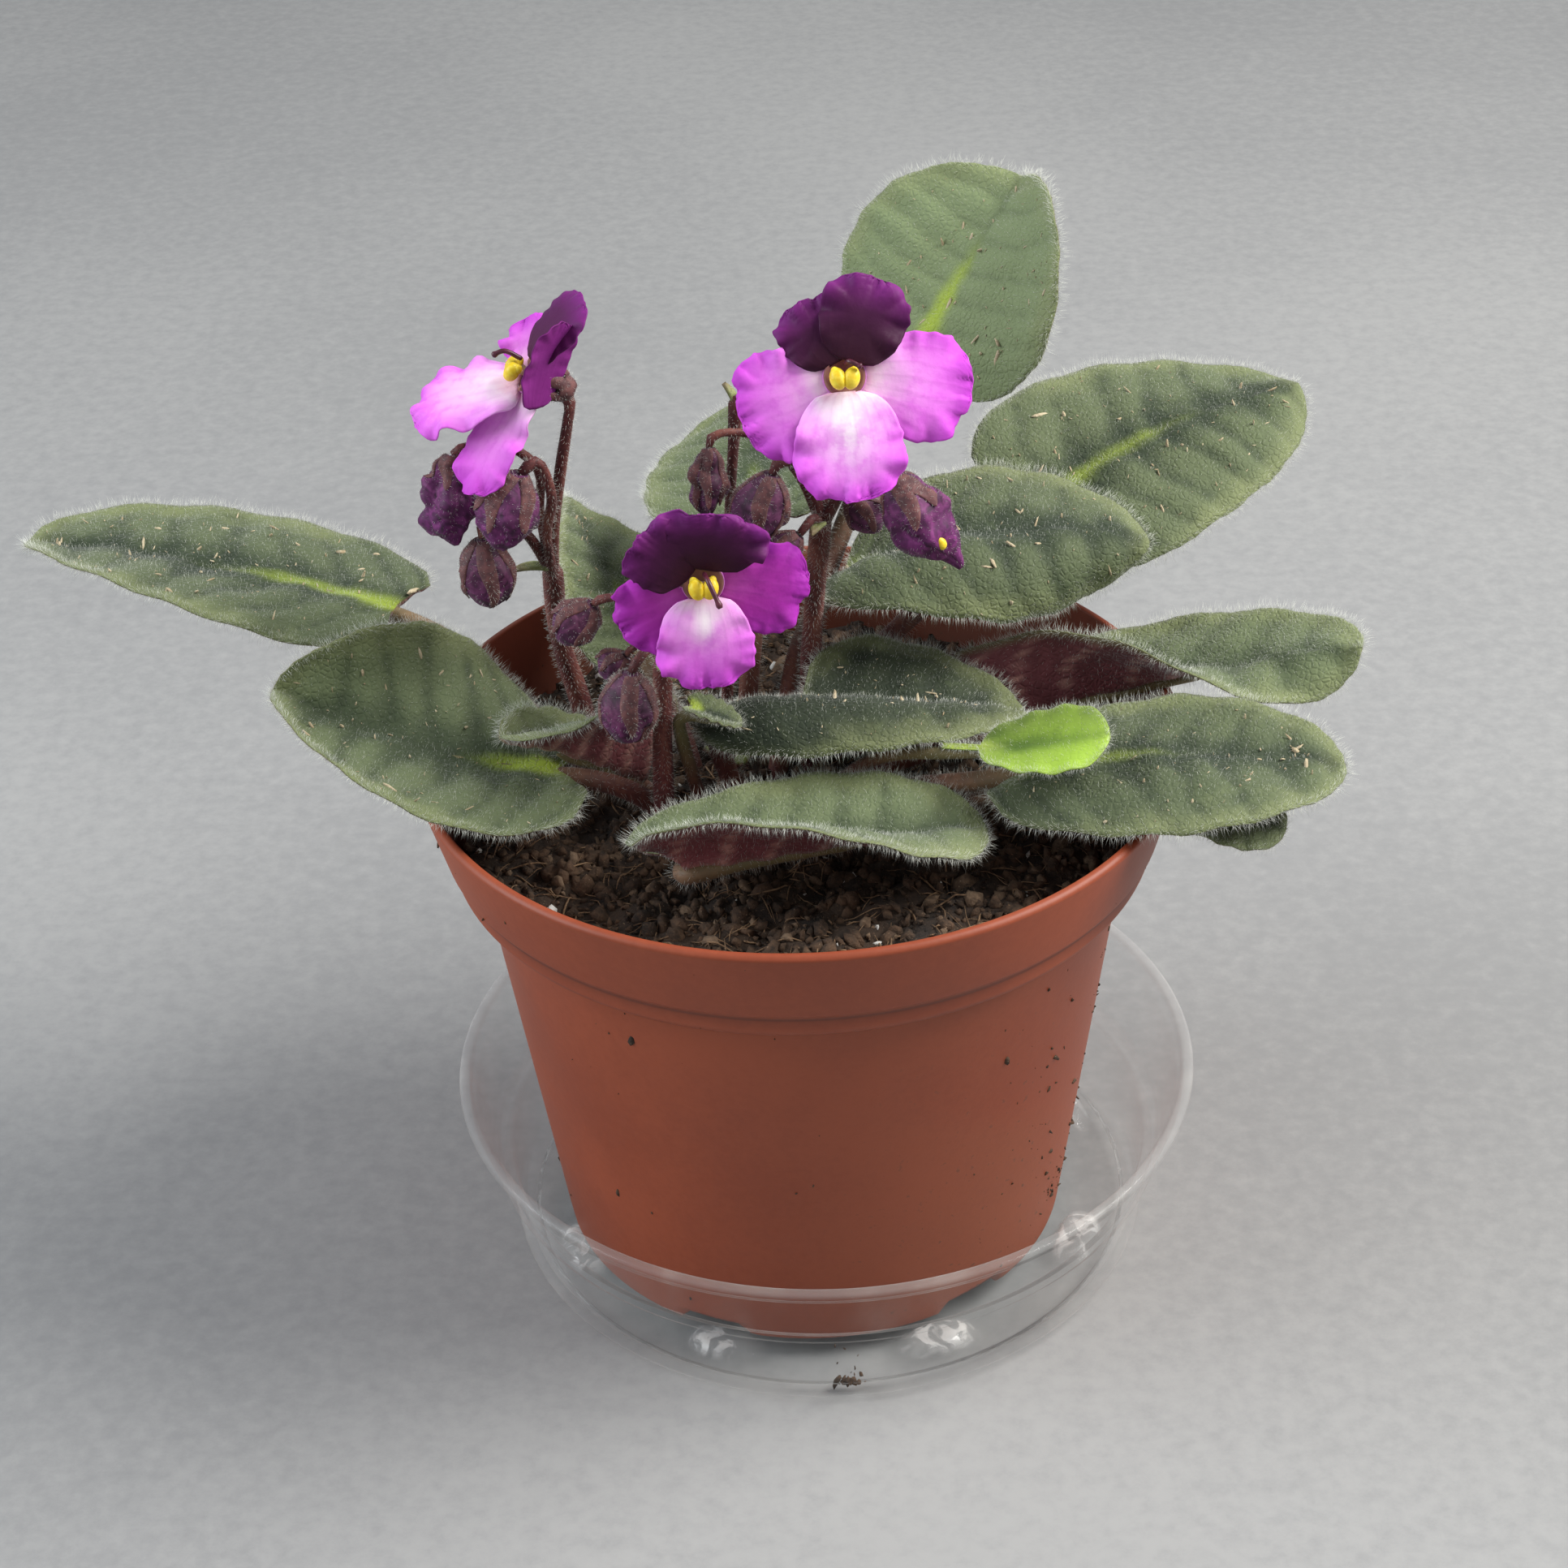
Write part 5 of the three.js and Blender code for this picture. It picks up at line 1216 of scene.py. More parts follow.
def bloomFront(bloom):
    azimuth, elevation = math.radians(bloom["azimuth"]), math.radians(bloom["elevation"])
    level = math.cos(elevation)
    return np.array((level * math.cos(azimuth), level * math.sin(azimuth), math.sin(elevation)))


def bloomBack(bloom):
    return np.array(bloom["throat"]) - bloomFront(bloom) * tubeLength


# a short pointed blade in a frame of its own
def addSmallBlade(form, blade, at, slot, thick=0.8, rows=12, columns=8, **shades):
    points, along, across = bladeGrid({**bractForm, **blade}, rows, columns)[:3]
    wide = 1 - 0.55 * np.abs(across) ** 2
    shell, faces = sheetShell(points, gridNormals(points), thick * wide)
    below = bothFaces(0 * along, 1.0)
    form.add(placed(shell, at), faces, slot, along=bothFaces(along), below=below, **shades)


world = (np.zeros(3), np.eye(3))


# sepals round a calyx: out from its mouth and on along the flower
def addSepals(form, at, start, seed):
    look = calyxLook
    front = np.array((0, 0, 1.0))
    for k in range(look["sepals"]):
        angle = math.radians(360 * (k + 0.5) / look["sepals"] + 9 * math.sin(3.7 * k + seed))
        # the blade is laid along +X, then stood up along the frame's front and turned round it
        blade = dict(
            base=(0, 0, 0), length=look["sepalLength"] * (1 + 0.12 * math.sin(5.1 * k + 2 * seed)),
            width=look["sepalWidth"], heading=(0, 0), rise=(look["spread"], look["bendIn"]),
            foldRight=(18, 22), foldLeft=(18, 22),
        )
        outward = np.array((math.cos(angle), math.sin(angle), 0))
        turnTo = np.stack([front, np.cross(front, outward), -outward], 1)
        spot = placed(outward[None] * start, at)[0]
        addSmallBlade(form, blade, (spot, at[1] @ turnTo), 1, fur=1.0, furLength=0.75)


stalkTones = [(0, (0.05, 0.012, 0.013)), (0.55, (0.125, 0.03, 0.028)), (1, (0.22, 0.075, 0.055))]
sepalTones = dict(dark=(0.075, 0.024, 0.028), light=(0.16, 0.055, 0.052), tip=(0.2, 0.065, 0.07))
bractTones = dict(dark=(0.16, 0.19, 0.06), light=(0.3, 0.33, 0.13), tip=(0.3, 0.2, 0.13))


def stalkFinish():
    f = Finish("flowerStalk")
    streaks = f.grain(220, 3, stretch=(1, 1, 0.3))
    fine = f.grain(1700, 2)
    colour = f.ramp(f.between(streaks * 0.75 + fine * 0.35, 0.35, 0.75), stalkTones)
    return f.coat(
        Base_Color=colour, Roughness=fine * 0.3 + 0.45, Normal=f.bump(streaks + fine, 0.4, 0.15),
        Sheen_Weight=0.1, Specular_IOR_Level=0.35,
    )


def sepalFinish():
    f = Finish("sepalBrown")
    fine = f.grain(900, 3)
    colour = f.mix(f.between(fine, 0.35, 0.7), sepalTones["dark"], sepalTones["light"])
    colour = f.mix(f.between(f.shade("along"), 0.3, 1.1) * 0.4, colour, sepalTones["tip"])
    bump = f.bump(fine, 0.5, 0.2)
    return f.coat(Base_Color=colour, Roughness=0.7, Normal=bump, Sheen_Weight=0.12)


def bractFinish():
    f = Finish("bractGreen")
    fine = f.grain(700, 3)
    colour = f.mix(f.between(fine, 0.35, 0.7), bractTones["dark"], bractTones["light"])
    colour = f.mix(f.between(f.shade("along"), 0.4, 1.3), colour, bractTones["tip"])
    return f.coat(Base_Color=colour, Roughness=0.7, Normal=f.bump(fine, 0.4, 0.2))


stalkSkin = stalkFinish()
sepalSkin = sepalFinish()
bractSkin = bractFinish()


# a place just short of an end, seen from a start
def shortOf(start, end, gap):
    return end - unit(end - start) * gap


def addStalkRod(form, route):
    look = stalkLook
    points = [np.array(p, float) for p in route["through"]]
    if "bloom" in route:
        points.append(shortOf(points[-1], bloomBack(bloomShapes[route["bloom"]]), 0.3))
    elif "bud" in route:
        points.append(shortOf(points[-1], np.array(budShapes[route["bud"]]["base"], float), 0.2))
    length = smoothPath(points, 8)[1]
    steps = max(8, round(length / look["step"]))
    path = smoothPath(points, steps)[0]
    share = np.linspace(0, 1, steps + 1)
    radius = ramped(route["radius"], share) * (1 + 0.05 * np.sin(11 * share + length))
    sides = look["sides"]
    if route["radius"][0] < look["twigUnder"]:
        sides = look["twigSides"]
        radius = radius * (1 + 0.45 * smoothStep(share, 0.86, 1.0))  # swells where it meets its flower
    radius[-1] *= 0.6
    shell, faces = rodShell(path, radius, sides)
    form.add(shell, faces, 0, along=rodAlong(share, sides), fur=1.0, furLength=1.0)


def addCalyx(form, bloom, seed):
    look = calyxLook
    size = look["size"]
    at = facing(bloomBack(bloom), bloomFront(bloom))
    rings = []
    angles = np.linspace(0, 2 * np.pi, look["sides"], endpoint=False)
    ridge = 1 + look["ridge"] * np.cos(look["sepals"] * angles)
    for share in np.linspace(0, 1, 6):
        reach = size * ramped((look["foot"], look["mouth"]), share**0.6)
        height = -0.3 - look["depth"] * size * (1 - share)
        ring = [reach * ridge * np.cos(angles), reach * ridge * np.sin(angles), angles * 0 + height]
        rings.append(np.stack(ring, 1))
    shell, faces = ringShell(rings)
    form.add(placed(shell, at), faces, 1, along=0.2, fur=0.8, furLength=0.8)
    lifted = (at[0] + at[1] @ np.array((0, 0, -0.8)), at[1])
    addSepals(form, lifted, look["mouth"] * size * 0.85, seed)


def buildStalks():
    for number, (name, routes) in enumerate(stalkRoutes.items()):
        form = Form()
        for route in routes:
            addStalkRod(form, route)
            if "bloom" in route:
                addCalyx(form, bloomShapes[route["bloom"]], number)
        for place in bractPlaces[name]:
            blade = dict(
                base=place["base"], length=place["length"], width=place["length"] * bractForm["slender"],
                heading=(place["heading"], 0), rise=(place["rise"], -25),
            )
            addSmallBlade(form, blade, world, 2, 0.9, fur=0.8, furLength=0.6)
        made = form.make(name + "_fine", [stalkSkin, sepalSkin, bractSkin], (name,))
        growHairs(name + "_hairs", made, stalkLook, number)


buildStalks()
print("flower stalks made")

antherTones = dict(dark=(0.86, 0.6, 0.012), light=(0.95, 0.76, 0.06), seam=(0.6, 0.3, 0.01))
filamentTones = dict(dark=(0.55, 0.35, 0.2), light=(0.7, 0.52, 0.36))
styleTones = dict(dark=(0.05, 0.006, 0.016), light=(0.11, 0.02, 0.04))


def antherFinish():
    f = Finish("antherYellow")
    fine = f.grain(1300, 4)
    colour = f.mix(f.between(fine, 0.35, 0.7), antherTones["dark"], antherTones["light"])
    colour = f.mix(f.shade("seam") * 0.5, colour, antherTones["seam"])
    bump = f.bump(fine, 0.6, 0.15)
    return f.coat(Base_Color=colour, Roughness=fine * 0.3 + 0.3, Normal=bump)


# filaments and styles: two colours in soft patches
def patchyFinish(name, tones, scale, rough):
    f = Finish(name)
    fine = f.grain(scale, 3)
    colour = f.mix(f.between(fine, 0.3, 0.7), tones["dark"], tones["light"])
    return f.coat(Base_Color=colour, Roughness=rough, Normal=f.bump(fine, 0.3, 0.1))


antherSkin = antherFinish()
filamentSkin = patchyFinish("filamentBeige", filamentTones, 800, 0.5)
styleSkin = patchyFinish("styleMaroon", styleTones, 700, 0.38)


# an anther: an egg with a seam along its upper side
def addEgg(form, centre, size, turn, at, slot, levels=12, sides=18):
    angles = np.linspace(0, 2 * np.pi, sides, endpoint=False)
    rings, seams = [], []
    for polar in np.linspace(0.08, np.pi - 0.08, levels):
        ring = np.stack(
            [np.sin(polar) * np.cos(angles), angles * 0 + np.cos(polar), np.sin(polar) * np.sin(angles)], 1
        )
        crease = bell(angles - np.pi / 2, 0.25) * math.sin(polar)
        rings.append(ring * (1 - 0.12 * crease)[:, None])
        seams.append(crease)
    shell, faces = ringShell(rings)
    c, s = math.cos(turn), math.sin(turn)
    spin = np.array(((c, -s, 0), (s, c, 0), (0, 0, 1)))
    shell = (shell * np.array(size)) @ spin.T + np.array(centre)
    form.add(placed(shell, at), faces, slot, seam=np.append(np.concatenate(seams), (0, 0)))


# petals folded round each other, and the sepals that hug them
budLook = dict(
    sides=40, levels=30, folds=4, foldDepth=0.16, purple=0.15, crease=0.05, sepals=5, sepalReach=0.74,
    sepalWidth=0.36, sepalThick=0.34, sepalOff=0.1, antherSize=(0.85, 0.9, 1.3), hairs=2.3, hairLength=0.9,
    hairRadius=0.023, hairLean=0.4, seed=60,
)

budTones = dict(
    dull=[(0, (0.035, 0.011, 0.024)), (0.5, (0.085, 0.024, 0.055)), (1, (0.16, 0.055, 0.1))],
    vivid=[(0, (0.045, 0.006, 0.042)), (0.5, (0.115, 0.013, 0.1)), (1, (0.24, 0.038, 0.2))],
    # fold: painted shade in the folds between the petals
    fold=(0.016, 0.003, 0.014),
)


def budFinish():
    f = Finish("budPurple")
    fold, along, purple = f.shade("fold"), f.shade("along"), f.shade("purple")
    fine = f.grain(900, 3)
    streaks = f.grain(330, 3, warp=1.5)
    patch = f.between(streaks * 0.7 + fine * 0.3, 0.3, 0.72)
    dull, vivid = f.ramp(patch, budTones["dull"]), f.ramp(patch, budTones["vivid"])
    colour = f.mix(f.between(along, 0.25, 0.95) * 0.55 + purple * 0.7, dull, vivid)
    # painted shade in the folds between the wrapped petals
    colour = f.mix(f.between(fold, 0.4, 1.0) * 0.75, colour, budTones["fold"])
    return f.coat(
        Base_Color=colour, Roughness=fine * 0.3 + 0.45, Normal=f.bump(streaks + fine * 0.6, 0.5, 0.25),
        Sheen_Weight=0.08, Specular_IOR_Level=0.3,
    )


budSkin = budFinish()


# how thick a bud is along its length, against its widest
def budBelly(along):
    return np.sin(np.pi * (0.06 + 0.88 * along)) ** 0.75


# points of a bud's side in its own frame, and how near each is to a fold between its petals
def budSide(bud, length, seed, along, turn):
    dent = 1 + bud["crumple"] * np.sin(3 * turn + 7 * along) * np.cos(2 * turn - 9 * along)
    # petals wrapped round each other: each laps over the next along a slanting fold
    slant = (turn * budLook["folds"] / (2 * np.pi) + 0.8 * along + seed * 0.37) % 1
    fold = bell(np.minimum(slant, 1 - slant), 0.07) * smoothStep(along, 0.1, 0.4)
    laps = 1 + budLook["foldDepth"] * (slant - 0.5) * smoothStep(along, 0.15, 0.5)
    reach = bud["radius"] * budBelly(along) * dent * laps
    points = np.stack([reach * np.cos(turn), reach * np.sin(turn), length * along], -1)
    aside, over, longer = bud.get("beak", (0, 0, 0))
    drawn = smoothStep(along, 0.55, 1.0)[..., None] ** 2
    points = points * (1 - 0.6 * drawn * (longer > 0) * np.array((1, 1, 0)))
    points = points + drawn * np.array((aside, over, longer))
    crease = bud.get("crease", budLook["crease"])
    rough = noiseAt(points, 0.4, seed) * crease + noiseAt(points, 1.1, seed) * 0.03
    return points + unit(points - np.array((0, 0, length / 2))) * rough[..., None] * bud["radius"], fold


# sepals hug the bud from its base, their tips a little off it
def addBudSepals(form, bud, length, seed, at):
    look = budLook
    share, across = np.meshgrid(np.linspace(0, 1, 17), np.linspace(-1, 1, 9), indexing="ij")
    for k in range(look["sepals"]):
        longest = bud.get("sepalReach", look["sepalReach"]) * (1 + 0.14 * math.sin(4.3 * k + seed))
        middle = 2 * np.pi * (k + 0.5) / look["sepals"] + 0.25 * math.sin(2.9 * k + 1.7 * seed)
        wide = look["sepalWidth"] * bud["radius"] * (0.7 + 0.3 * np.sin(np.pi * share**0.7))
        wide = wide * np.sqrt(1 - share**2.2)
        within = longest * share
        spread = across * wide / (bud["radius"] * budBelly(within) + 0.3)
        angle = middle + spread + 0.12 * np.sin(5 * share + k)
        hug = budSide(bud, length, seed, within, angle)[0]
        tipOff = 0.4 + 0.6 * math.sin(k * 2.1 + seed) ** 2
        off = look["sepalOff"] + 0.55 * smoothStep(share, 0.7, 1.0) * tipOff - 0.1 * across**2
        hug = hug + np.stack([np.cos(angle), np.sin(angle), angle * 0], -1) * off[..., None]
        thick = look["sepalThick"] * (1 - 0.55 * across**2) * (1 - 0.4 * share)
        shell, faces = sheetShell(hug, gridNormals(hug), thick)
        form.add(placed(shell, at), faces, 1, along=bothFaces(share), fur=1.2, furLength=0.9)


# numbers for a ring shell's points from a grid of them, its two closing points last
def withEnds(grid):
    return np.append(grid.reshape(-1), (grid[0].mean(), grid[-1].mean()))


def addBud(form, bud, seed):
    look = budLook
    start = np.array(bud["base"], float)
    axis = np.array(bud["tip"], float) - start
    length = np.linalg.norm(axis)
    at = facing(start, axis)
    levels = np.linspace(0, 1, look["levels"] + 1)
    around = np.linspace(0, 2 * np.pi, look["sides"], endpoint=False)
    along, turn = np.meshgrid(levels, around, indexing="ij")
    points, fold = budSide(bud, length, seed, along, turn)
    shell, faces = ringShell(points)
    form.add(
        placed(shell, at), faces, 0, fold=withEnds(fold), along=withEnds(along),
        purple=bud.get("purple", look["purple"]), fur=0.45, furLength=0.7,
    )
    addBudSepals(form, bud, length, seed, at)
    if "anther" in bud:
        addEgg(form, np.array(bud["anther"]), look["antherSize"], 0.3, at, 2)


def buildBuds():
    for number, (name, bud) in enumerate(budShapes.items()):
        form = Form()
        addBud(form, bud, number)
        made = form.make(name + "_fine", [budSkin, sepalSkin, antherSkin], (name,))
        growHairs(name + "_hairs", made, budLook, number)


buildBuds()
print("buds made")

# how petals are bent, then how finely they are built, ruffled and scalloped
petalForm = dict(
    roll=(0, 0), foldRight=(4, 4), foldLeft=(4, 4), curlRight=(-14, -20), curlLeft=(-14, -20), widest=0.62,
    shoulder=0.3, lobe=0, blunt=2.6, wave=0.7, waves=2.5,
)
petalLook = dict(
    rows=38, columns=36, thick=0.42, ruffle=0.46, rufflePitch=5.6, ruffleReach=2.6, scallop=0.22,
    scallopPitch=2.2, start=2.4, arch=6, archBack=-22, rays=13,
)
tubeForm = dict(
    radius=1.7, flare=0.5, throat=3.4, throatRise=0.8, throatDip=0.6, wall=0.2, foot=0.3, sides=48,
)

# dark: share of deep purple over the whole lobe, rich: how saturated the pink, back: how purple behind
lobeTones = {
    "rear_upper": (0.9, 1.0, 1.0), "near_upper": (0.9, 1.0, 1.0), "far_side": (0.0, 0.3, 0.0),
    "near_side": (0.0, 0.2, 0.0), "upper_left": (1.0, 1.0, 1.0), "upper_right": (1.0, 1.0, 1.0),
    "side_left": (0.0, 0.2, 0.2), "side_right": (0.0, 0.15, 0.2), "lip": (0.0, 0.0, 0.0),
}
# richness of colour, share of white by the throat
bloomTones = {"bloom_left": (0.0, 0.35), "bloom_right": (0.0, 1.0), "bloom_front": (0.85, 1.0)}

# colours of petals: the ramps run from the throat out to the margin
petalTones = dict(
    pale=[
        (0.0, (0.42, 0.21, 0.15)), (0.07, (0.3, 0.1, 0.12)), (0.11, (0.27, 0.04, 0.12)),
        (0.17, (0.88, 0.5, 0.7)), (0.24, (0.98, 0.7, 0.92)), (0.36, (0.98, 0.46, 0.95)),
        (0.56, (0.96, 0.3, 0.95)), (0.8, (0.9, 0.19, 0.92)), (1.0, (0.7, 0.08, 0.77)),
    ],
    strong=[
        (0.0, (0.2, 0.08, 0.07)), (0.12, (0.16, 0.01, 0.08)), (0.28, (0.42, 0.05, 0.34)),
        (0.5, (0.38, 0.026, 0.33)), (0.8, (0.36, 0.02, 0.34)), (1.0, (0.36, 0.022, 0.36)),
    ],
    deep=[
        (0.0, (0.03, 0.004, 0.012)), (0.4, (0.034, 0.004, 0.02)), (0.66, (0.055, 0.005, 0.042)),
        (0.84, (0.11, 0.009, 0.1)), (1.0, (0.2, 0.018, 0.2)),
    ],
    white=(0.97, 0.86, 0.92), spots=(0.78, 0.13, 0.8), strongSpots=(0.22, 0.012, 0.2),
    edge=(0.52, 0.04, 0.58), rays=(0.55, 0.08, 0.52), back=((0.68, 0.17, 0.7), (0.8, 0.28, 0.8)),
    deepBack=((0.13, 0.012, 0.13), (0.24, 0.03, 0.25)), strongBack=(0.22, 0.02, 0.2),
)


def petalFinish():
    f = Finish("petal")
    tones = petalTones
    reach, edge, dark, rich, below = (f.shade(k) for k in ("reach", "edge", "dark", "rich", "below"))
    middle, rays, purple = f.shade("middle"), f.shade("rays"), f.shade("purple")
    cloud = f.grain(160, 4, rough=0.6)
    fine = f.grain(1400, 3)
    mottle = f.grain(420, 4, rough=0.6)
    way = reach + (cloud - 0.5) * 0.3 + (mottle - 0.5) * 0.12
    pale, strong, deep = (f.ramp(way, tones[key]) for key in ("pale", "strong", "deep"))
    colour = f.mix(rich, pale, strong)
    colour = f.mix(middle, colour, tones["white"])
    spots = f.between(mottle + (cloud - 0.5) * 0.8 + rays * 0.05, 0.45, 0.72) * f.between(way, 0.2, 0.6)
    colour = f.mix(spots * 0.45, colour, f.mix(rich, tones["spots"], tones["strongSpots"]))
    colour = f.mix(edge * 0.5, colour, tones["edge"])
    colour = f.mix(rays * 0.1, colour, tones["rays"])
    colour = f.mix(dark, colour, deep)
    patch = f.between(cloud, 0.3, 0.7)
    back = f.mix(purple, f.mix(patch, *tones["back"]), f.mix(patch, *tones["deepBack"]))
    back = f.mix(rich * 0.7, back, tones["strongBack"])
    colour = f.mix(below, colour, back)
    return f.coat(
        Base_Color=colour, Roughness=fine * 0.2 + 0.5, Normal=f.bump(fine + rays * 0.6, 0.35, 0.12),
        Sheen_Weight=0.04, Sheen_Roughness=0.35, Specular_IOR_Level=0.2,
    )


petalSkin = petalFinish()


# how far a lobe is ruffled up and down, most of all along its margin
def lobeFrill(lobe, points, along, near, around, number):
    look = petalLook
    ruffle = lobe.get("ruffle", 1)
    pitch = look["rufflePitch"] * (1 + 0.15 * math.sin(number * 2.3))
    frill = ruffle * look["ruffle"] * np.sin(2 * np.pi * around / pitch + number) * near
    frill += 0.12 * np.sin(2 * np.pi * around / (0.43 * pitch) + 2 * number) * near**2
    frill += 0.6 * ruffle * noiseAt(points, 0.14, number + 2)
    return frill * smoothStep(along, 0.12, 0.4)


# how far the small scallops stand out of its margin
def lobeScallops(points, along, edge, around, number):
    teeth = 0.6 * np.abs(np.sin(np.pi * around / petalLook["scallopPitch"])) - 0.4
    teeth = teeth + 1.3 * noiseAt(points, 0.5, number + 9)
    return petalLook["scallop"] * teeth * bell(edge, 0.8) * smoothStep(along, 0.2, 0.5)


def addLobe(form, name, lobe, number, at, rich, white):
    look = petalLook
    turn = math.radians(lobe["turn"])
    start = look["start"]
    foot = lobe.get("foot", (start * math.cos(turn), start * math.sin(turn)))
    petal = {
        **petalForm,
        "base": (*foot, lobe["layer"]),
        "length": lobe["length"] - start,
        "width": lobe["width"],
        "heading": (lobe["turn"], 0),
        "rise": (lobe["lean"] + look["arch"], look["archBack"]),
        "roll": lobe.get("roll", petalForm["roll"]),
        "wave": petalForm["wave"] * lobe.get("ruffle", 1),
    }
    points, along, across = bladeGrid(petal, look["rows"], look["columns"])[:3]
    normals = gridNormals(points)
    edge, around = marginReach(points)
    near = bell(edge, look["ruffleReach"])
    points = points + normals * lobeFrill(lobe, points, along, near, around, number)[..., None]
    points = points + outwardFrom(points) * lobeScallops(points, along, edge, around, number)[..., None]
    thick = look["thick"] * (0.45 + 0.55 * smoothStep(edge, 0, 1.2))
    thick = thick * (1.6 - 0.6 * smoothStep(along, 0, 0.3))
    shell, faces = sheetShell(points, gridNormals(points), thick)
    distance = np.linalg.norm(points[..., :2], axis=-1) / lobe["length"]
    rays = np.abs(np.sin(look["rays"] * across * (1 - 0.3 * along) + 0.6 * np.sin(6 * along))) ** 8
    dark, richness, purple = lobeTones[name]
    lip = name == "lip"
    streak = bell(across, 0.44 - 0.22 * rich) * bell(along - 0.24, 0.42 - 0.26 * rich)
    middle = white * streak * (0.95 if lip else 0.1 * (1 - rich)) * (1 - dark)
    form.add(
        placed(shell, at), faces, 0, reach=bothFaces(distance),
        edge=bothFaces(near * smoothStep(along, 0.2, 0.5)), dark=dark,
        rich=min(1, richness + rich * (0.2 if lip else 1)), middle=bothFaces(middle), rays=bothFaces(rays),
        purple=purple, below=bothFaces(0 * edge, 1.0),
    )


# the short tube behind the lobes, open at the throat
def addTube(form, at):
    t = tubeForm
    r, foot, wall, throat = t["radius"], t["foot"] - tubeLength, t["wall"], t["throat"]
    profile = [
        (0, foot), (r - wall, foot), (r, 0.6 - tubeLength), (r + t["flare"], -0.5 * tubeLength), (throat, 0),
        (throat - wall, 0.55), (throat - t["flare"], t["throatRise"]), (0.75 * throat, 0.6),
        (0.5 * throat, 0), (0, -t["throatDip"]),
    ]
    shell, faces = turnedShell(profile, t["sides"])
    inside = (shell[:, 2] > -1) & (np.hypot(shell[:, 0], shell[:, 1]) < throat - 0.1)
    form.add(
        placed(shell, at), faces, 0, reach=np.where(inside, 0.02, 0.35), edge=0.0,
        dark=np.where(inside, 0.25, 0.0), rich=0.3, middle=0.0, rays=0.0, purple=0.3,
        below=np.where(inside, 0.0, 1.0),
    )


def buildBlooms():
    for name, bloom in bloomShapes.items():
        at = facing(bloom["throat"], bloomFront(bloom))
        form = Form()
        for number, (lobeName, lobe) in enumerate(bloom["lobes"].items()):
            addLobe(form, lobeName, lobe, number, at, *bloomTones[name])
        addTube(form, at)
        form.make(name + "_fine", [petalSkin], (name,))


buildBlooms()
print("blooms made")

# a pair of anthers in each throat, a smaller one behind each, on short filaments
antherLook = dict(
    radius=1.3, length=3.5, apart=2.1, forward=2.8, drop=-0.4, splay=0.5, behind=(0.5, 0.9, -0.7),
    behindSize=(0.75, 1.05, 0.75), filament=0.42,
)
styleLook = dict(foot=(1.9, 2.0), steps=18, radius=0.4, footRadius=0.3, knob=(0.5, 0.55, 0.35), sides=12)


def addAnthers(form, at):
    look = antherLook
    for side in (-0.5, 0.5):
        end = np.array((side * look["apart"], look["drop"], look["forward"]))
        addEgg(form, end, (look["radius"], look["length"] / 2, look["radius"]), -look["splay"] * side, at, 0)
        aside, over, ahead = look["behind"]
        behind = end + np.array((side * aside, over, ahead))
        addEgg(form, behind, look["behindSize"], -look["splay"] * side * 2, at, 0)
        through = [(0.3 * side, 0.5 * look["drop"], 0.2), (1.1 * end[0], 0.2, 0.6 * end[2]), tuple(end)]
        path = smoothPath(through, 8)[0]
        shell, faces = rodShell(path, np.full(len(path), look["filament"]), 10)
        form.add(placed(shell, at), faces, 1)


# the style bows up out of the throat to a small knob
def addStyle(form, bloom, at):
    look = styleLook
    tip = np.array(bloom["styleTip"], float)
    up, ahead = look["foot"]
    bow = (0.3 * tip[0], up + 0.2 * tip[1], 0.6 * (tip[2] + ahead))
    path = smoothPath([(0.1 * tip[0], up, ahead), bow, tuple(tip)], look["steps"])[0]
    radius = np.full(len(path), look["radius"])
    radius[0] = look["footRadius"]
    radius[-3:] = look["knob"]
    shell, faces = rodShell(path, radius, look["sides"])
    form.add(placed(shell, at), faces)


def buildStamens():
    for name, bloom in bloomShapes.items():
        at = facing(bloom["throat"], bloomFront(bloom))
        stamens, style = name.replace("bloom", "stamens"), name.replace("bloom", "style")
        form = Form()
        addAnthers(form, at)
        form.make(stamens + "_fine", [antherSkin, filamentSkin], (stamens,))
        form = Form()
        addStyle(form, bloom, at)
        form.make(style + "_fine", [styleSkin], (style,))


buildStamens()
print("anthers and styles made")

# the short stem in the middle with the first furled leaves
crownLook = dict(
    centre=(-11.5, 1), radius=3, foot=82, top=92, sides=28, narrowing=0.7,
    rings=((0.95, 86), (1, 88), (0.96, 89.2), (0.85, 90.4)),  # share of the radius, height
    sprouts=((20, 62, 8), (200, 70, 9), (290, 66, 7)),  # heading, rise, length
    hairs=4, hairLength=1.0, hairRadius=0.03, hairLean=0.5, seed=80,
)


def buildCrown():
    form = Form()
    look = crownLook
    x, y = look["centre"]
    foot, top, slim = look["foot"], look["top"], look["narrowing"]
    outline = [(0, foot), (slim, foot), *look["rings"], (slim, top - 1), (0.4, top - 0.2), (0, top)]
    shell, faces = turnedShell([(look["radius"] * share, height) for share, height in outline], look["sides"])
    form.add(shell + (x, y, 0), faces, 1, along=0.5, fur=0.6, furLength=0.8)
    for heading, rise, length in look["sprouts"]:
        blade = dict(
            base=(x, y, top - 1.5), length=length, width=bractForm["slender"] * length, heading=(heading, 0),
            rise=(rise, -25),
        )
        # pale and vein paint a little light and shade on these sprouts too, as on the leaves
        addSmallBlade(
            form, blade, world, 0, 1.0, vein=0.2, rim=0.3, ribGlow=0.4, border=0.3, pale=0.2, puffed=0.5,
            tone=0.15, fur=1.0, furLength=0.7,
        )
    made = form.make("crown_fine", [leafGreen, leafStalkSkin], ("crown",))
    growHairs("crown_hairs", made, look)


buildCrown()
print("crown made")

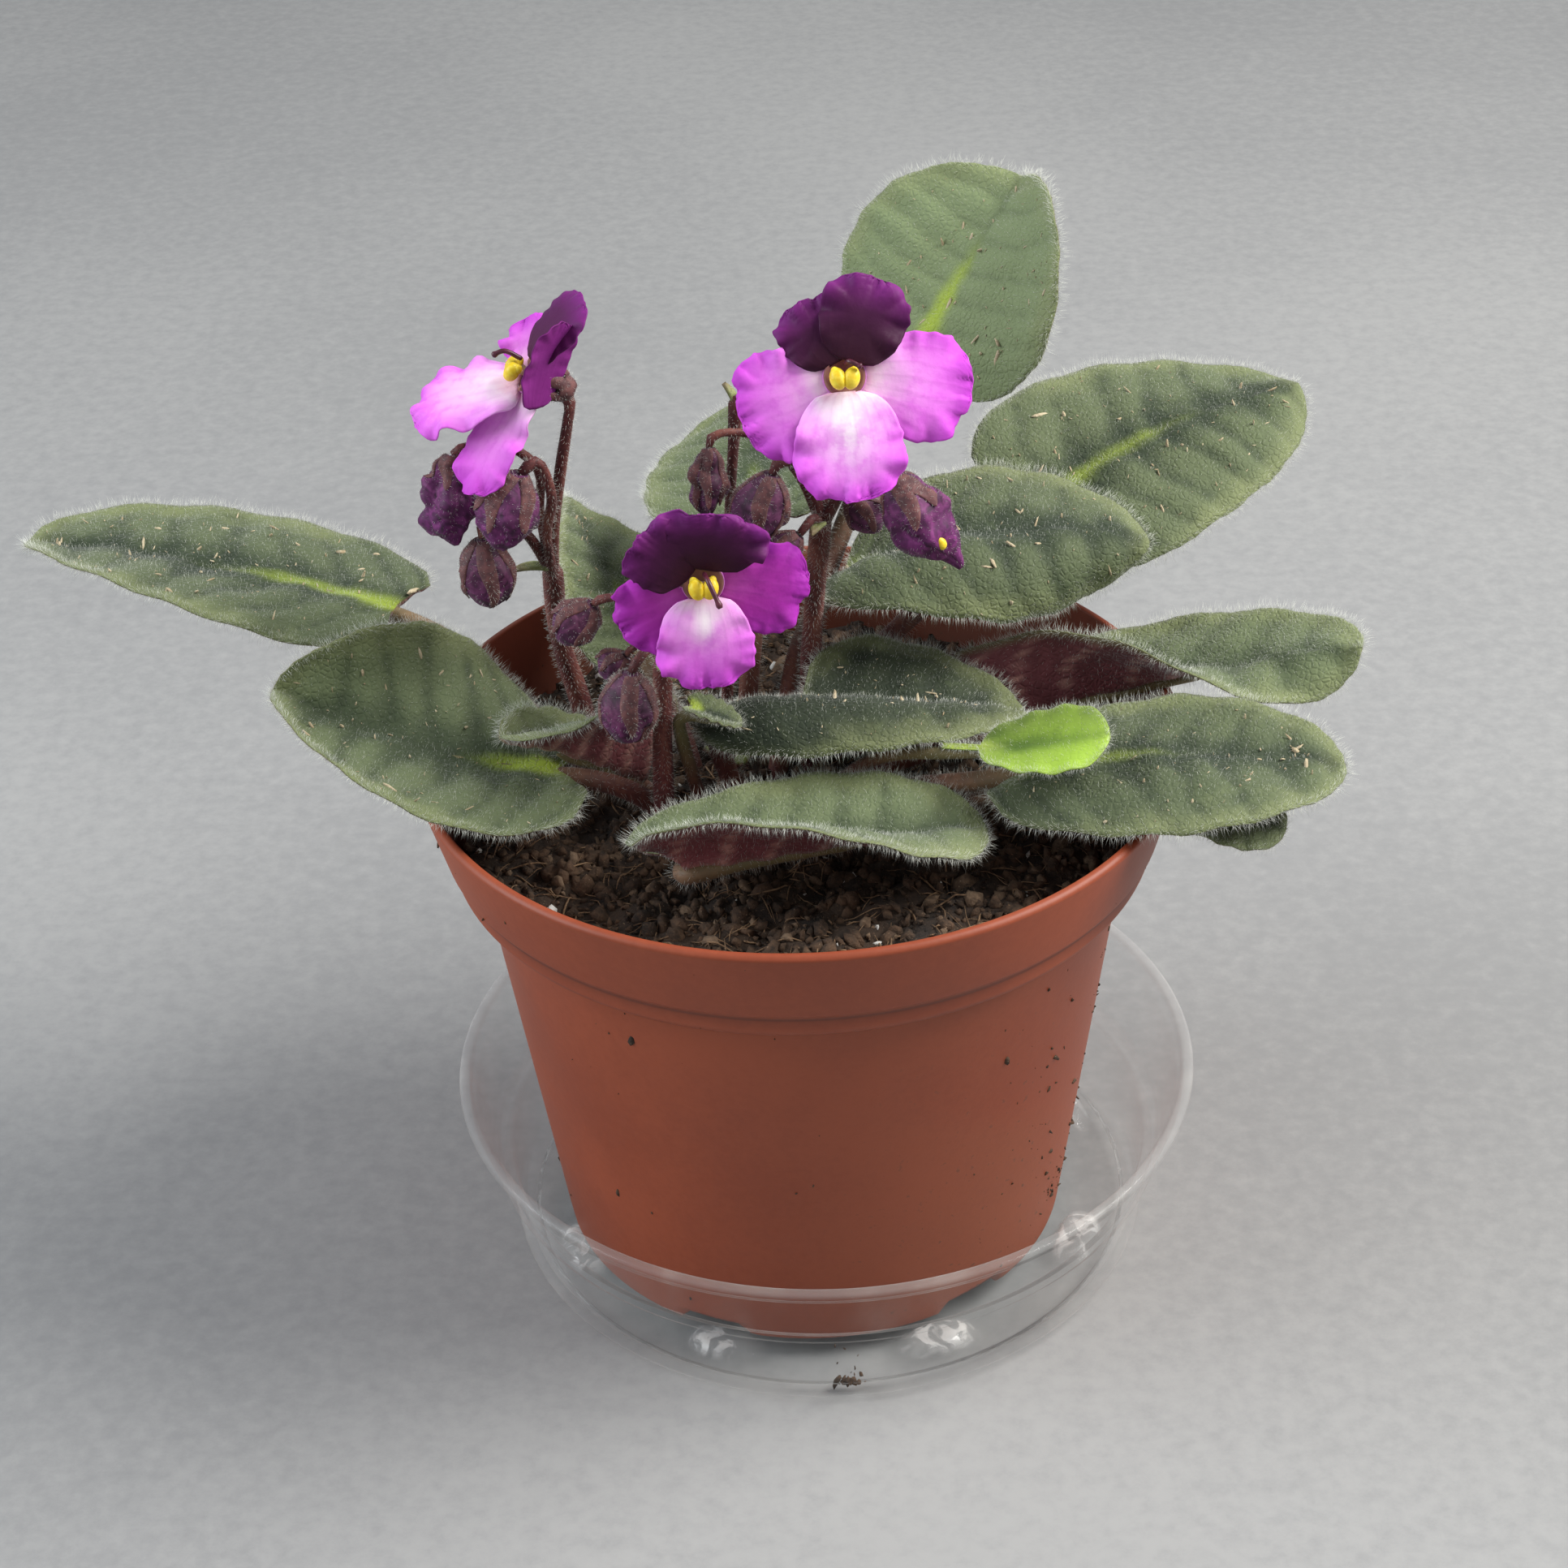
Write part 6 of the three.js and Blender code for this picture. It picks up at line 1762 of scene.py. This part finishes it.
# soil: the plain one's body with a finer top, then crumbs, fibres and perlite on it
soilLook = dict(
    level=88, relief=1.5, radius=55.5, fall=1.2,  # towards the wall
    lumps=((0.5, 0.33, -0.29, 1), (0.5, 0.33, 0.29, 1), (0.6, 0.61, -0.47, 2), (0.5, 0.35, 0.83, 1.6)),
    unevenness=((0.7, 0.35, 4), (0.35, 0.9, 5)),  # height, how fine, seed
    sides=150, rings=64,
    crumbs=dict(density=0.45, smallest=0.35, largest=2.1, seed=90),
    granules=dict(density=0.035, smallest=0.4, largest=2.3, seed=92),
    perlite=dict(density=0.006, smallest=0.5, largest=1.5, seed=91),
    fibres=700, fibreSeed=12, fibreReach=56, fibreLength=(2, 9), fibreRadius=(0.05, 0.2),
)


def soilHeight(x, y):
    look = soilLook
    lumps = sum(h * np.sin(a * x + b * y + phase) for h, a, b, phase in look["lumps"])
    away = np.hypot(x, y) / look["radius"]
    return look["level"] + 0.5 * look["relief"] * lumps - look["fall"] * away**4


def soilTopHeight(points):
    flat = points * (1, 1, 0)
    height = soilHeight(points[..., 0], points[..., 1])
    for rough, scale, seed in soilLook["unevenness"]:
        height = height + rough * noiseAt(flat, scale, seed)
    return height


# dark, light and speck colours
soilSkin = soilFinish("soilDark", (0.01, 0.006, 0.004), (0.055, 0.033, 0.02), (0.25, 0.17, 0.1))
crumbSkin = soilFinish("soilCrumb", (0.016, 0.01, 0.006), (0.12, 0.068, 0.038), (0.34, 0.24, 0.15))
granuleSkin = soilFinish("soilGranule", (0.07, 0.042, 0.024), (0.24, 0.16, 0.1), (0.4, 0.3, 0.2))
fibreSkin = soilFinish("soilFibre", (0.09, 0.048, 0.024), (0.32, 0.2, 0.11), (0.5, 0.38, 0.25))
perliteSkin = soilFinish("perlite", (0.6, 0.58, 0.53), (0.85, 0.84, 0.8), (0.9, 0.88, 0.84))

# pot: radii and heights of its rim, band, step and tapering wall, and the notches under its foot
potLook = dict(
    rimRadius=65, top=100.5, bandRadius=61.4, bandFoot=85.8, stepRadius=60, stepFoot=80.7, wallTop=55.5,
    baseRadius=45, base=4, wall=1.3, floor=8, lip=0.7, notches=6, notchTurn=7, notchWidth=11, sides=150,
    rounding=0.9, notchLow=(4.2, 6.4), notchInside=(42.5, 45), notchHeight=(2.4, 1.6),
    dustAt=(-0.8, 0.7), crumbsAt=(-0.5, 0.3),  # which side in radians, and how far round
    specks=dict(density=0.2, smallest=0.09, largest=0.6, stretch=1.5, seed=93),
)


# radius of the pot's wall at a height, where its taper ends at a given one
def potWall(height, taperTop, inset=0):
    p = potLook
    widening = (p["wallTop"] - p["baseRadius"]) * (height - p["base"]) / (taperTop - p["base"])
    return p["baseRadius"] - inset + widening


def soilBody():
    p = potLook
    clear, bend, gap = p["wall"] + 0.7, 4, 0.3
    floor, step, rings = p["floor"] + gap, p["stepFoot"], soilLook["rings"]
    outer = p["stepRadius"] - clear - 2 * gap
    profile = [
        (0, floor), (p["baseRadius"] - clear - gap, floor), (potWall(step - bend, step) - clear, step - bend),
        (potWall(step, step) - clear - 2 * gap, step), (outer, step + bend), (outer, p["bandFoot"] + gap),
    ]
    profile += [(outer * (1 - k / rings) ** 0.8, soilLook["level"]) for k in range(rings)]
    shell, faces = turnedShell(profile + [(0, soilLook["level"])], soilLook["sides"])
    top = np.abs(shell[:, 2] - soilLook["level"]) < 1e-6
    shell[top, 2] = soilTopHeight(shell[top])
    return shell, faces, top


def buildFibres():
    look = soilLook
    random = np.random.default_rng(look["fibreSeed"])
    form = Form()
    run = np.linspace(-0.5, 0.5, 6)
    for _ in range(look["fibres"]):
        turn, away = random.uniform(0, 2 * np.pi), look["fibreReach"] * math.sqrt(random.uniform(0, 1))
        heading, length = random.uniform(0, 2 * np.pi), random.uniform(*look["fibreLength"])
        bends = random.uniform(-1, 1, 4)
        side = bends[0] * length * 0.35 * run**2 + bends[1] * length * 0.3 * run**3
        x = away * math.cos(turn) + length * run * math.cos(heading) - side * math.sin(heading)
        y = away * math.sin(turn) + length * run * math.sin(heading) + side * math.cos(heading)
        if np.hypot(x, y).max() > look["fibreReach"]:
            continue
        path = np.stack([x, y, 0 * x], 1)
        arch = 0.5 * abs(bends[2]) * (1 - (2 * run) ** 2)
        path[:, 2] = soilTopHeight(path) + 0.25 + arch + 0.8 * bends[3] * run
        radius = random.uniform(*look["fibreRadius"]) * (1 - 0.6 * (2 * run) ** 4)
        form.add(*rodShell(path, radius, 4))
    form.make("soil_fibres", [fibreSkin], ())


def buildSoil():
    shell, faces, top = soilBody()
    form = Form()
    form.add(shell, faces, 0, crumb=np.where(top, 1.0, 0.0))
    made = form.make("soil_fine", [soilSkin], ("soil",))
    growCrumbs("soil_crumbs", made, soilLook["crumbs"], crumbSkin)
    growCrumbs("soil_granules", made, soilLook["granules"], granuleSkin)
    growCrumbs("soil_perlite", made, soilLook["perlite"], perliteSkin)
    buildFibres()


buildSoil()
print("soil made")

# inside: painted shade on the inner wall; shadow: painted shade under the band and the step
potTones = dict(
    dark=(0.245, 0.05, 0.02), light=(0.31, 0.068, 0.028), inside=(0.1, 0.026, 0.015),
    specks=(0.05, 0.03, 0.02), dust=(0.15, 0.08, 0.05), shadow=(0.1, 0.022, 0.011),
)
saucerTones = dict(gloss=((0.72, 0.71, 0.7), (0.93, 0.92, 0.88)), clear=(0.97, 0.972, 0.972))


def potFinish():
    f = Finish("terracottaPlastic")
    tones = potTones
    cloud = f.grain(26, 4)
    fine = f.grain(650, 4, rough=0.65)
    inner, dust, shadow = f.shade("inner"), f.shade("dust"), f.shade("shadow")
    colour = f.mix(f.between(cloud * 0.7 + fine * 0.3, 0.35, 0.65), tones["dark"], tones["light"])
    # the inner wall is darkened with painted shade
    colour = f.mix(inner * 0.85, colour, tones["inside"])
    colour = f.mix(f.between(fine, 0.62, 0.7) * dust * 0.7, colour, tones["specks"])
    colour = f.mix(dust * f.between(cloud, 0.35, 0.6) * 0.3, colour, tones["dust"])
    colour = f.mix(shadow * 0.75, colour, tones["shadow"])
    return f.coat(
        Base_Color=colour, Roughness=f.between(cloud, 0.3, 0.7) * 0.12 + 0.42,
        Normal=f.bump(fine, 0.3, 0.08), Specular_IOR_Level=0.35, Subsurface_Weight=0.04,
        Subsurface_Radius=(0.6 * mm, 0.2 * mm, 0.1 * mm),
    )


# thin clear plastic: mostly see-through, glossy where it is seen aslant and a little where scuffed, with
# painted highlights along its rim, ledge and foot, and on its pads
def saucerFinish():
    f = Finish("clearPlastic")
    scuff = f.grain(90, 4, stretch=(1, 1, 0.4), warp=0.4)
    fine = f.grain(700, 3)
    gloss = f.surface(
        Base_Color=f.mix(f.between(scuff, 0.4, 0.7), *saucerTones["gloss"]),
        Roughness=f.between(scuff, 0.45, 0.75) * 0.12 + 0.06,
        Normal=f.bump(scuff + fine * 0.1, 0.12, 0.2),
        Specular_IOR_Level=0.6,
    )
    clear = f.node("ShaderNodeBsdfTransparent", None, {"Color": (*saucerTones["clear"], 1)})
    grazing = f.node("ShaderNodeLayerWeight", None, {"Blend": 0.3}, 1)
    share = f.between(grazing, 0.3, 1.0) * 0.36 + f.between(scuff, 0.5, 0.8) * 0.04 + 0.02
    # painted highlights: whitish lines along the rim, ledge and foot, and blotchy glints on the pads
    paintedGlints = f.between(f.grain(240, 3, warp=1.2), 0.46, 0.6)
    share = share + f.shade("line") * 0.13 + f.shade("pad") * (paintedGlints * 0.45 + 0.1)
    return f.done(f.node("ShaderNodeMixShader", None, {0: share, 1: clear, 2: gloss}))


# rounds the corners of a profile of (radius, height)
def roundedProfile(profile, reach, steps=5):
    p = np.asarray(profile, float)
    made = [p[0]]
    for k in range(1, len(p) - 1):
        before, after = p[k - 1] - p[k], p[k + 1] - p[k]
        cut = min(reach, 0.45 * np.linalg.norm(before), 0.45 * np.linalg.norm(after))
        start, end = p[k] + unit(before) * cut, p[k] + unit(after) * cut
        for t in np.linspace(0, 1, steps):
            made.append(start * (1 - t) ** 2 + 2 * p[k] * t * (1 - t) + end * t * t)
    return np.array(made + [p[-1]])


def potOutline():
    p = potLook
    wall, r = p["wall"], p["lip"]
    floor, foot, inner, step, band, rim = (
        p[key] for key in ("floor", "baseRadius", "wallTop", "stepRadius", "bandRadius", "rimRadius")
    )
    stepFoot, bandFoot = p["stepFoot"], p["bandFoot"]
    taperTop = stepFoot - r

    def wallRun(inset, start, stop):
        return [(potWall(z, taperTop, inset), z) for z in np.linspace(start, stop, 6)]

    return [
        (0, floor - wall), (foot - 2 * wall, floor - wall), (foot - wall, p["base"]), (foot, p["base"]),
        *wallRun(0, 7.5, 24), (inner, taperTop), (step - 2 * r, stepFoot), (step, stepFoot + 2 * r),
        (band - r - 0.3, bandFoot - r), (band - r, bandFoot), (band, bandFoot + r), (rim, p["top"] - r),
        (rim - r, p["top"]), (rim - wall - 0.3, p["top"]), (band - wall - 0.3, bandFoot + r),
        (step - wall - 0.3, stepFoot + 2 * r), (inner - wall, taperTop), *wallRun(wall, 74, 12),
        (foot - wall, floor), (0, floor),
    ]


# drain notches cut up into the foot
def notched(points, angles):
    p = potLook
    apart = 360 / p["notches"]
    turn = (np.degrees(angles) - p["notchTurn"] + apart / 2) % apart - apart / 2
    width = math.degrees(p["notchWidth"] / 2 / p["baseRadius"])
    inNotch = 1 - smoothStep(np.abs(turn), width - 0.6, width + 0.6)
    foot = 1 - smoothStep(points[..., 2], *p["notchLow"])
    away = smoothStep(np.hypot(points[..., 0], points[..., 1]), *p["notchInside"])
    points[..., 2] += inNotch * foot * (p["notchHeight"][0] + p["notchHeight"][1] * away)
    return points


def buildPot():
    p = potLook
    profile = roundedProfile(potOutline(), p["rounding"])
    reach = np.concatenate([[0], np.cumsum(np.linalg.norm(np.diff(profile, axis=0), axis=1))])
    innerFrom = reach[np.argmax(profile[:, 1])]
    shell, faces = turnedShell(profile, p["sides"], notched)
    inside = rodAlong(smoothStep(reach[1:-1], innerFrom + 0.6, innerFrom + 2.5), p["sides"])
    height, turn = shell[:, 2], np.arctan2(shell[:, 1], shell[:, 0])
    side, spread = p["dustAt"]
    dust = smoothStep(-height, -88, -62) * bell(turn - side, spread) * (1 - inside)
    dust = dust + inside * 0.8 * (1 - smoothStep(height, 88, 97))
    # painted shade in the corners under the band and the step, crumbs stuck to the lower wall and the band
    shadow = bell(height - p["bandFoot"] + 0.6, 0.5) + bell(height - p["stepFoot"] + 0.2, 0.7)
    side, spread = p["crumbsAt"]
    crumb = bell(turn - side, spread) * (1 - smoothStep(height, 10, 46)) + 0.05
    crumb = crumb * (1 - inside) * (height > 6) * 2 * smoothStep(noiseAt(shell, 0.12, 21), -0.1, 0.7)
    form = Form()
    form.add(shell, faces, 0, inner=inside, dust=dust, shadow=shadow * (1 - inside), crumb=crumb)
    made = form.make("pot_fine", [potSkin], ("pot",))
    growCrumbs("pot_specks", made, p["specks"], crumbSkin)


# saucer: radii and heights of its rim, ledge and foot, and the pads that the pot stands on
saucerLook = dict(
    centre=(2.8, 0.6), rimRadius=66.1, top=32.3, ledgeRadius=59, ledge=15.7, footRadius=57.3, wall=1.3,
    floor=1.6, lip=2, corner=1.6, pads=8, padTurn=21.5, padRadius=48, padWidth=9, padLength=16, padTop=3.7,
    padRound=2.4, padRipple=0.25, floorRings=36, floorInside=38, padOutside=54, rounding=0.9, sides=200,
    fleck=(5, -53.5),  # where a bit of soil lies
    fleckReach=1.5,
    specks=dict(density=2, smallest=0.2, largest=0.9, stretch=1.3, seed=94),
)


def saucerProfile():
    s = saucerLook
    t, c, lip = s["wall"], s["corner"], s["lip"]
    foot, ledgeRadius, rim = s["footRadius"], s["ledgeRadius"], s["rimRadius"]
    floor, ledge, top = s["floor"], s["ledge"], s["top"]
    outline = [
        (0, 0), (foot - c, 0), (foot, c), (ledgeRadius, ledge), (ledgeRadius + c, ledge + 0.75 * c),
        (rim - 0.9 * lip, top - 1.2 * lip), (rim - 0.2 * lip, top - lip), (rim, top - 0.5 * lip),
        (rim - 0.3 * lip, top), (rim - lip, top), (rim - 0.9 * lip - t, top - 0.9 * lip),
        (ledgeRadius + c - t + 0.3, ledge + c), (ledgeRadius - t - 0.3, ledge + 0.5 * c),
        (foot - t, floor + c), (foot - t - c, floor), (0, floor),
    ]
    profile = roundedProfile(outline, s["rounding"])
    across = np.linspace(foot - t - c - 0.2, s["floorInside"], s["floorRings"])
    return np.concatenate([profile[:-1], [(radius, floor) for radius in across], profile[-1:]])


# pads raised out of the saucer's floor
def padded(points, angles):
    s = saucerLook
    reach = np.hypot(points[..., 0], points[..., 1])
    apart = 360 / s["pads"]
    turn = np.radians((np.degrees(angles) - s["padTurn"] + apart / 2) % apart - apart / 2)
    aside = np.abs(reach * np.sin(turn)) / (s["padLength"] / 2)
    away = np.abs(reach - s["padRadius"]) / (s["padWidth"] / 2)
    off = (aside ** s["padRound"] + away ** s["padRound"]) ** (1 / s["padRound"])
    top = np.abs(points[..., 2] - s["floor"]) < 1e-6
    ripple = 1 + s["padRipple"] * noiseAt(points, 0.35, 31)
    rise = (s["padTop"] - s["floor"]) * (1 - smoothStep(off, 0.5, 1.06)) * ripple
    points[..., 2] += np.where(top, rise, 0)
    return points


def buildSaucer():
    s = saucerLook
    shell, faces = turnedShell(saucerProfile(), s["sides"], padded)
    radius, height = np.hypot(shell[:, 0], shell[:, 1]), shell[:, 2]
    # painted highlights along the rim, the ledge and the foot
    line = bell(height - s["top"] + 0.2, 0.6)
    line = line + 0.6 * bell(height - s["ledge"] - 0.6, 0.7)
    line = line + 0.25 * bell(height - 1.2, 1) * (radius > s["padOutside"])
    # the pads' tops, which get painted highlights and glints
    pad = smoothStep(height, s["floor"] + 0.1, s["padTop"] - 0.2) * (radius < s["padOutside"])
    shell = shell + (*s["centre"], 0)
    away = np.hypot(shell[:, 0] - s["fleck"][0], shell[:, 1] - s["fleck"][1])
    form = Form()
    form.add(shell, faces, 0, line=line, pad=pad, crumb=bell(away, s["fleckReach"]) * (height > 1))
    made = form.make("saucer_fine", [saucerSkin], ("saucer",))
    growCrumbs("saucer_specks", made, s["specks"], crumbSkin)


potSkin, saucerSkin = potFinish(), saucerFinish()
buildPot()
buildSaucer()
print("pot and saucer made")
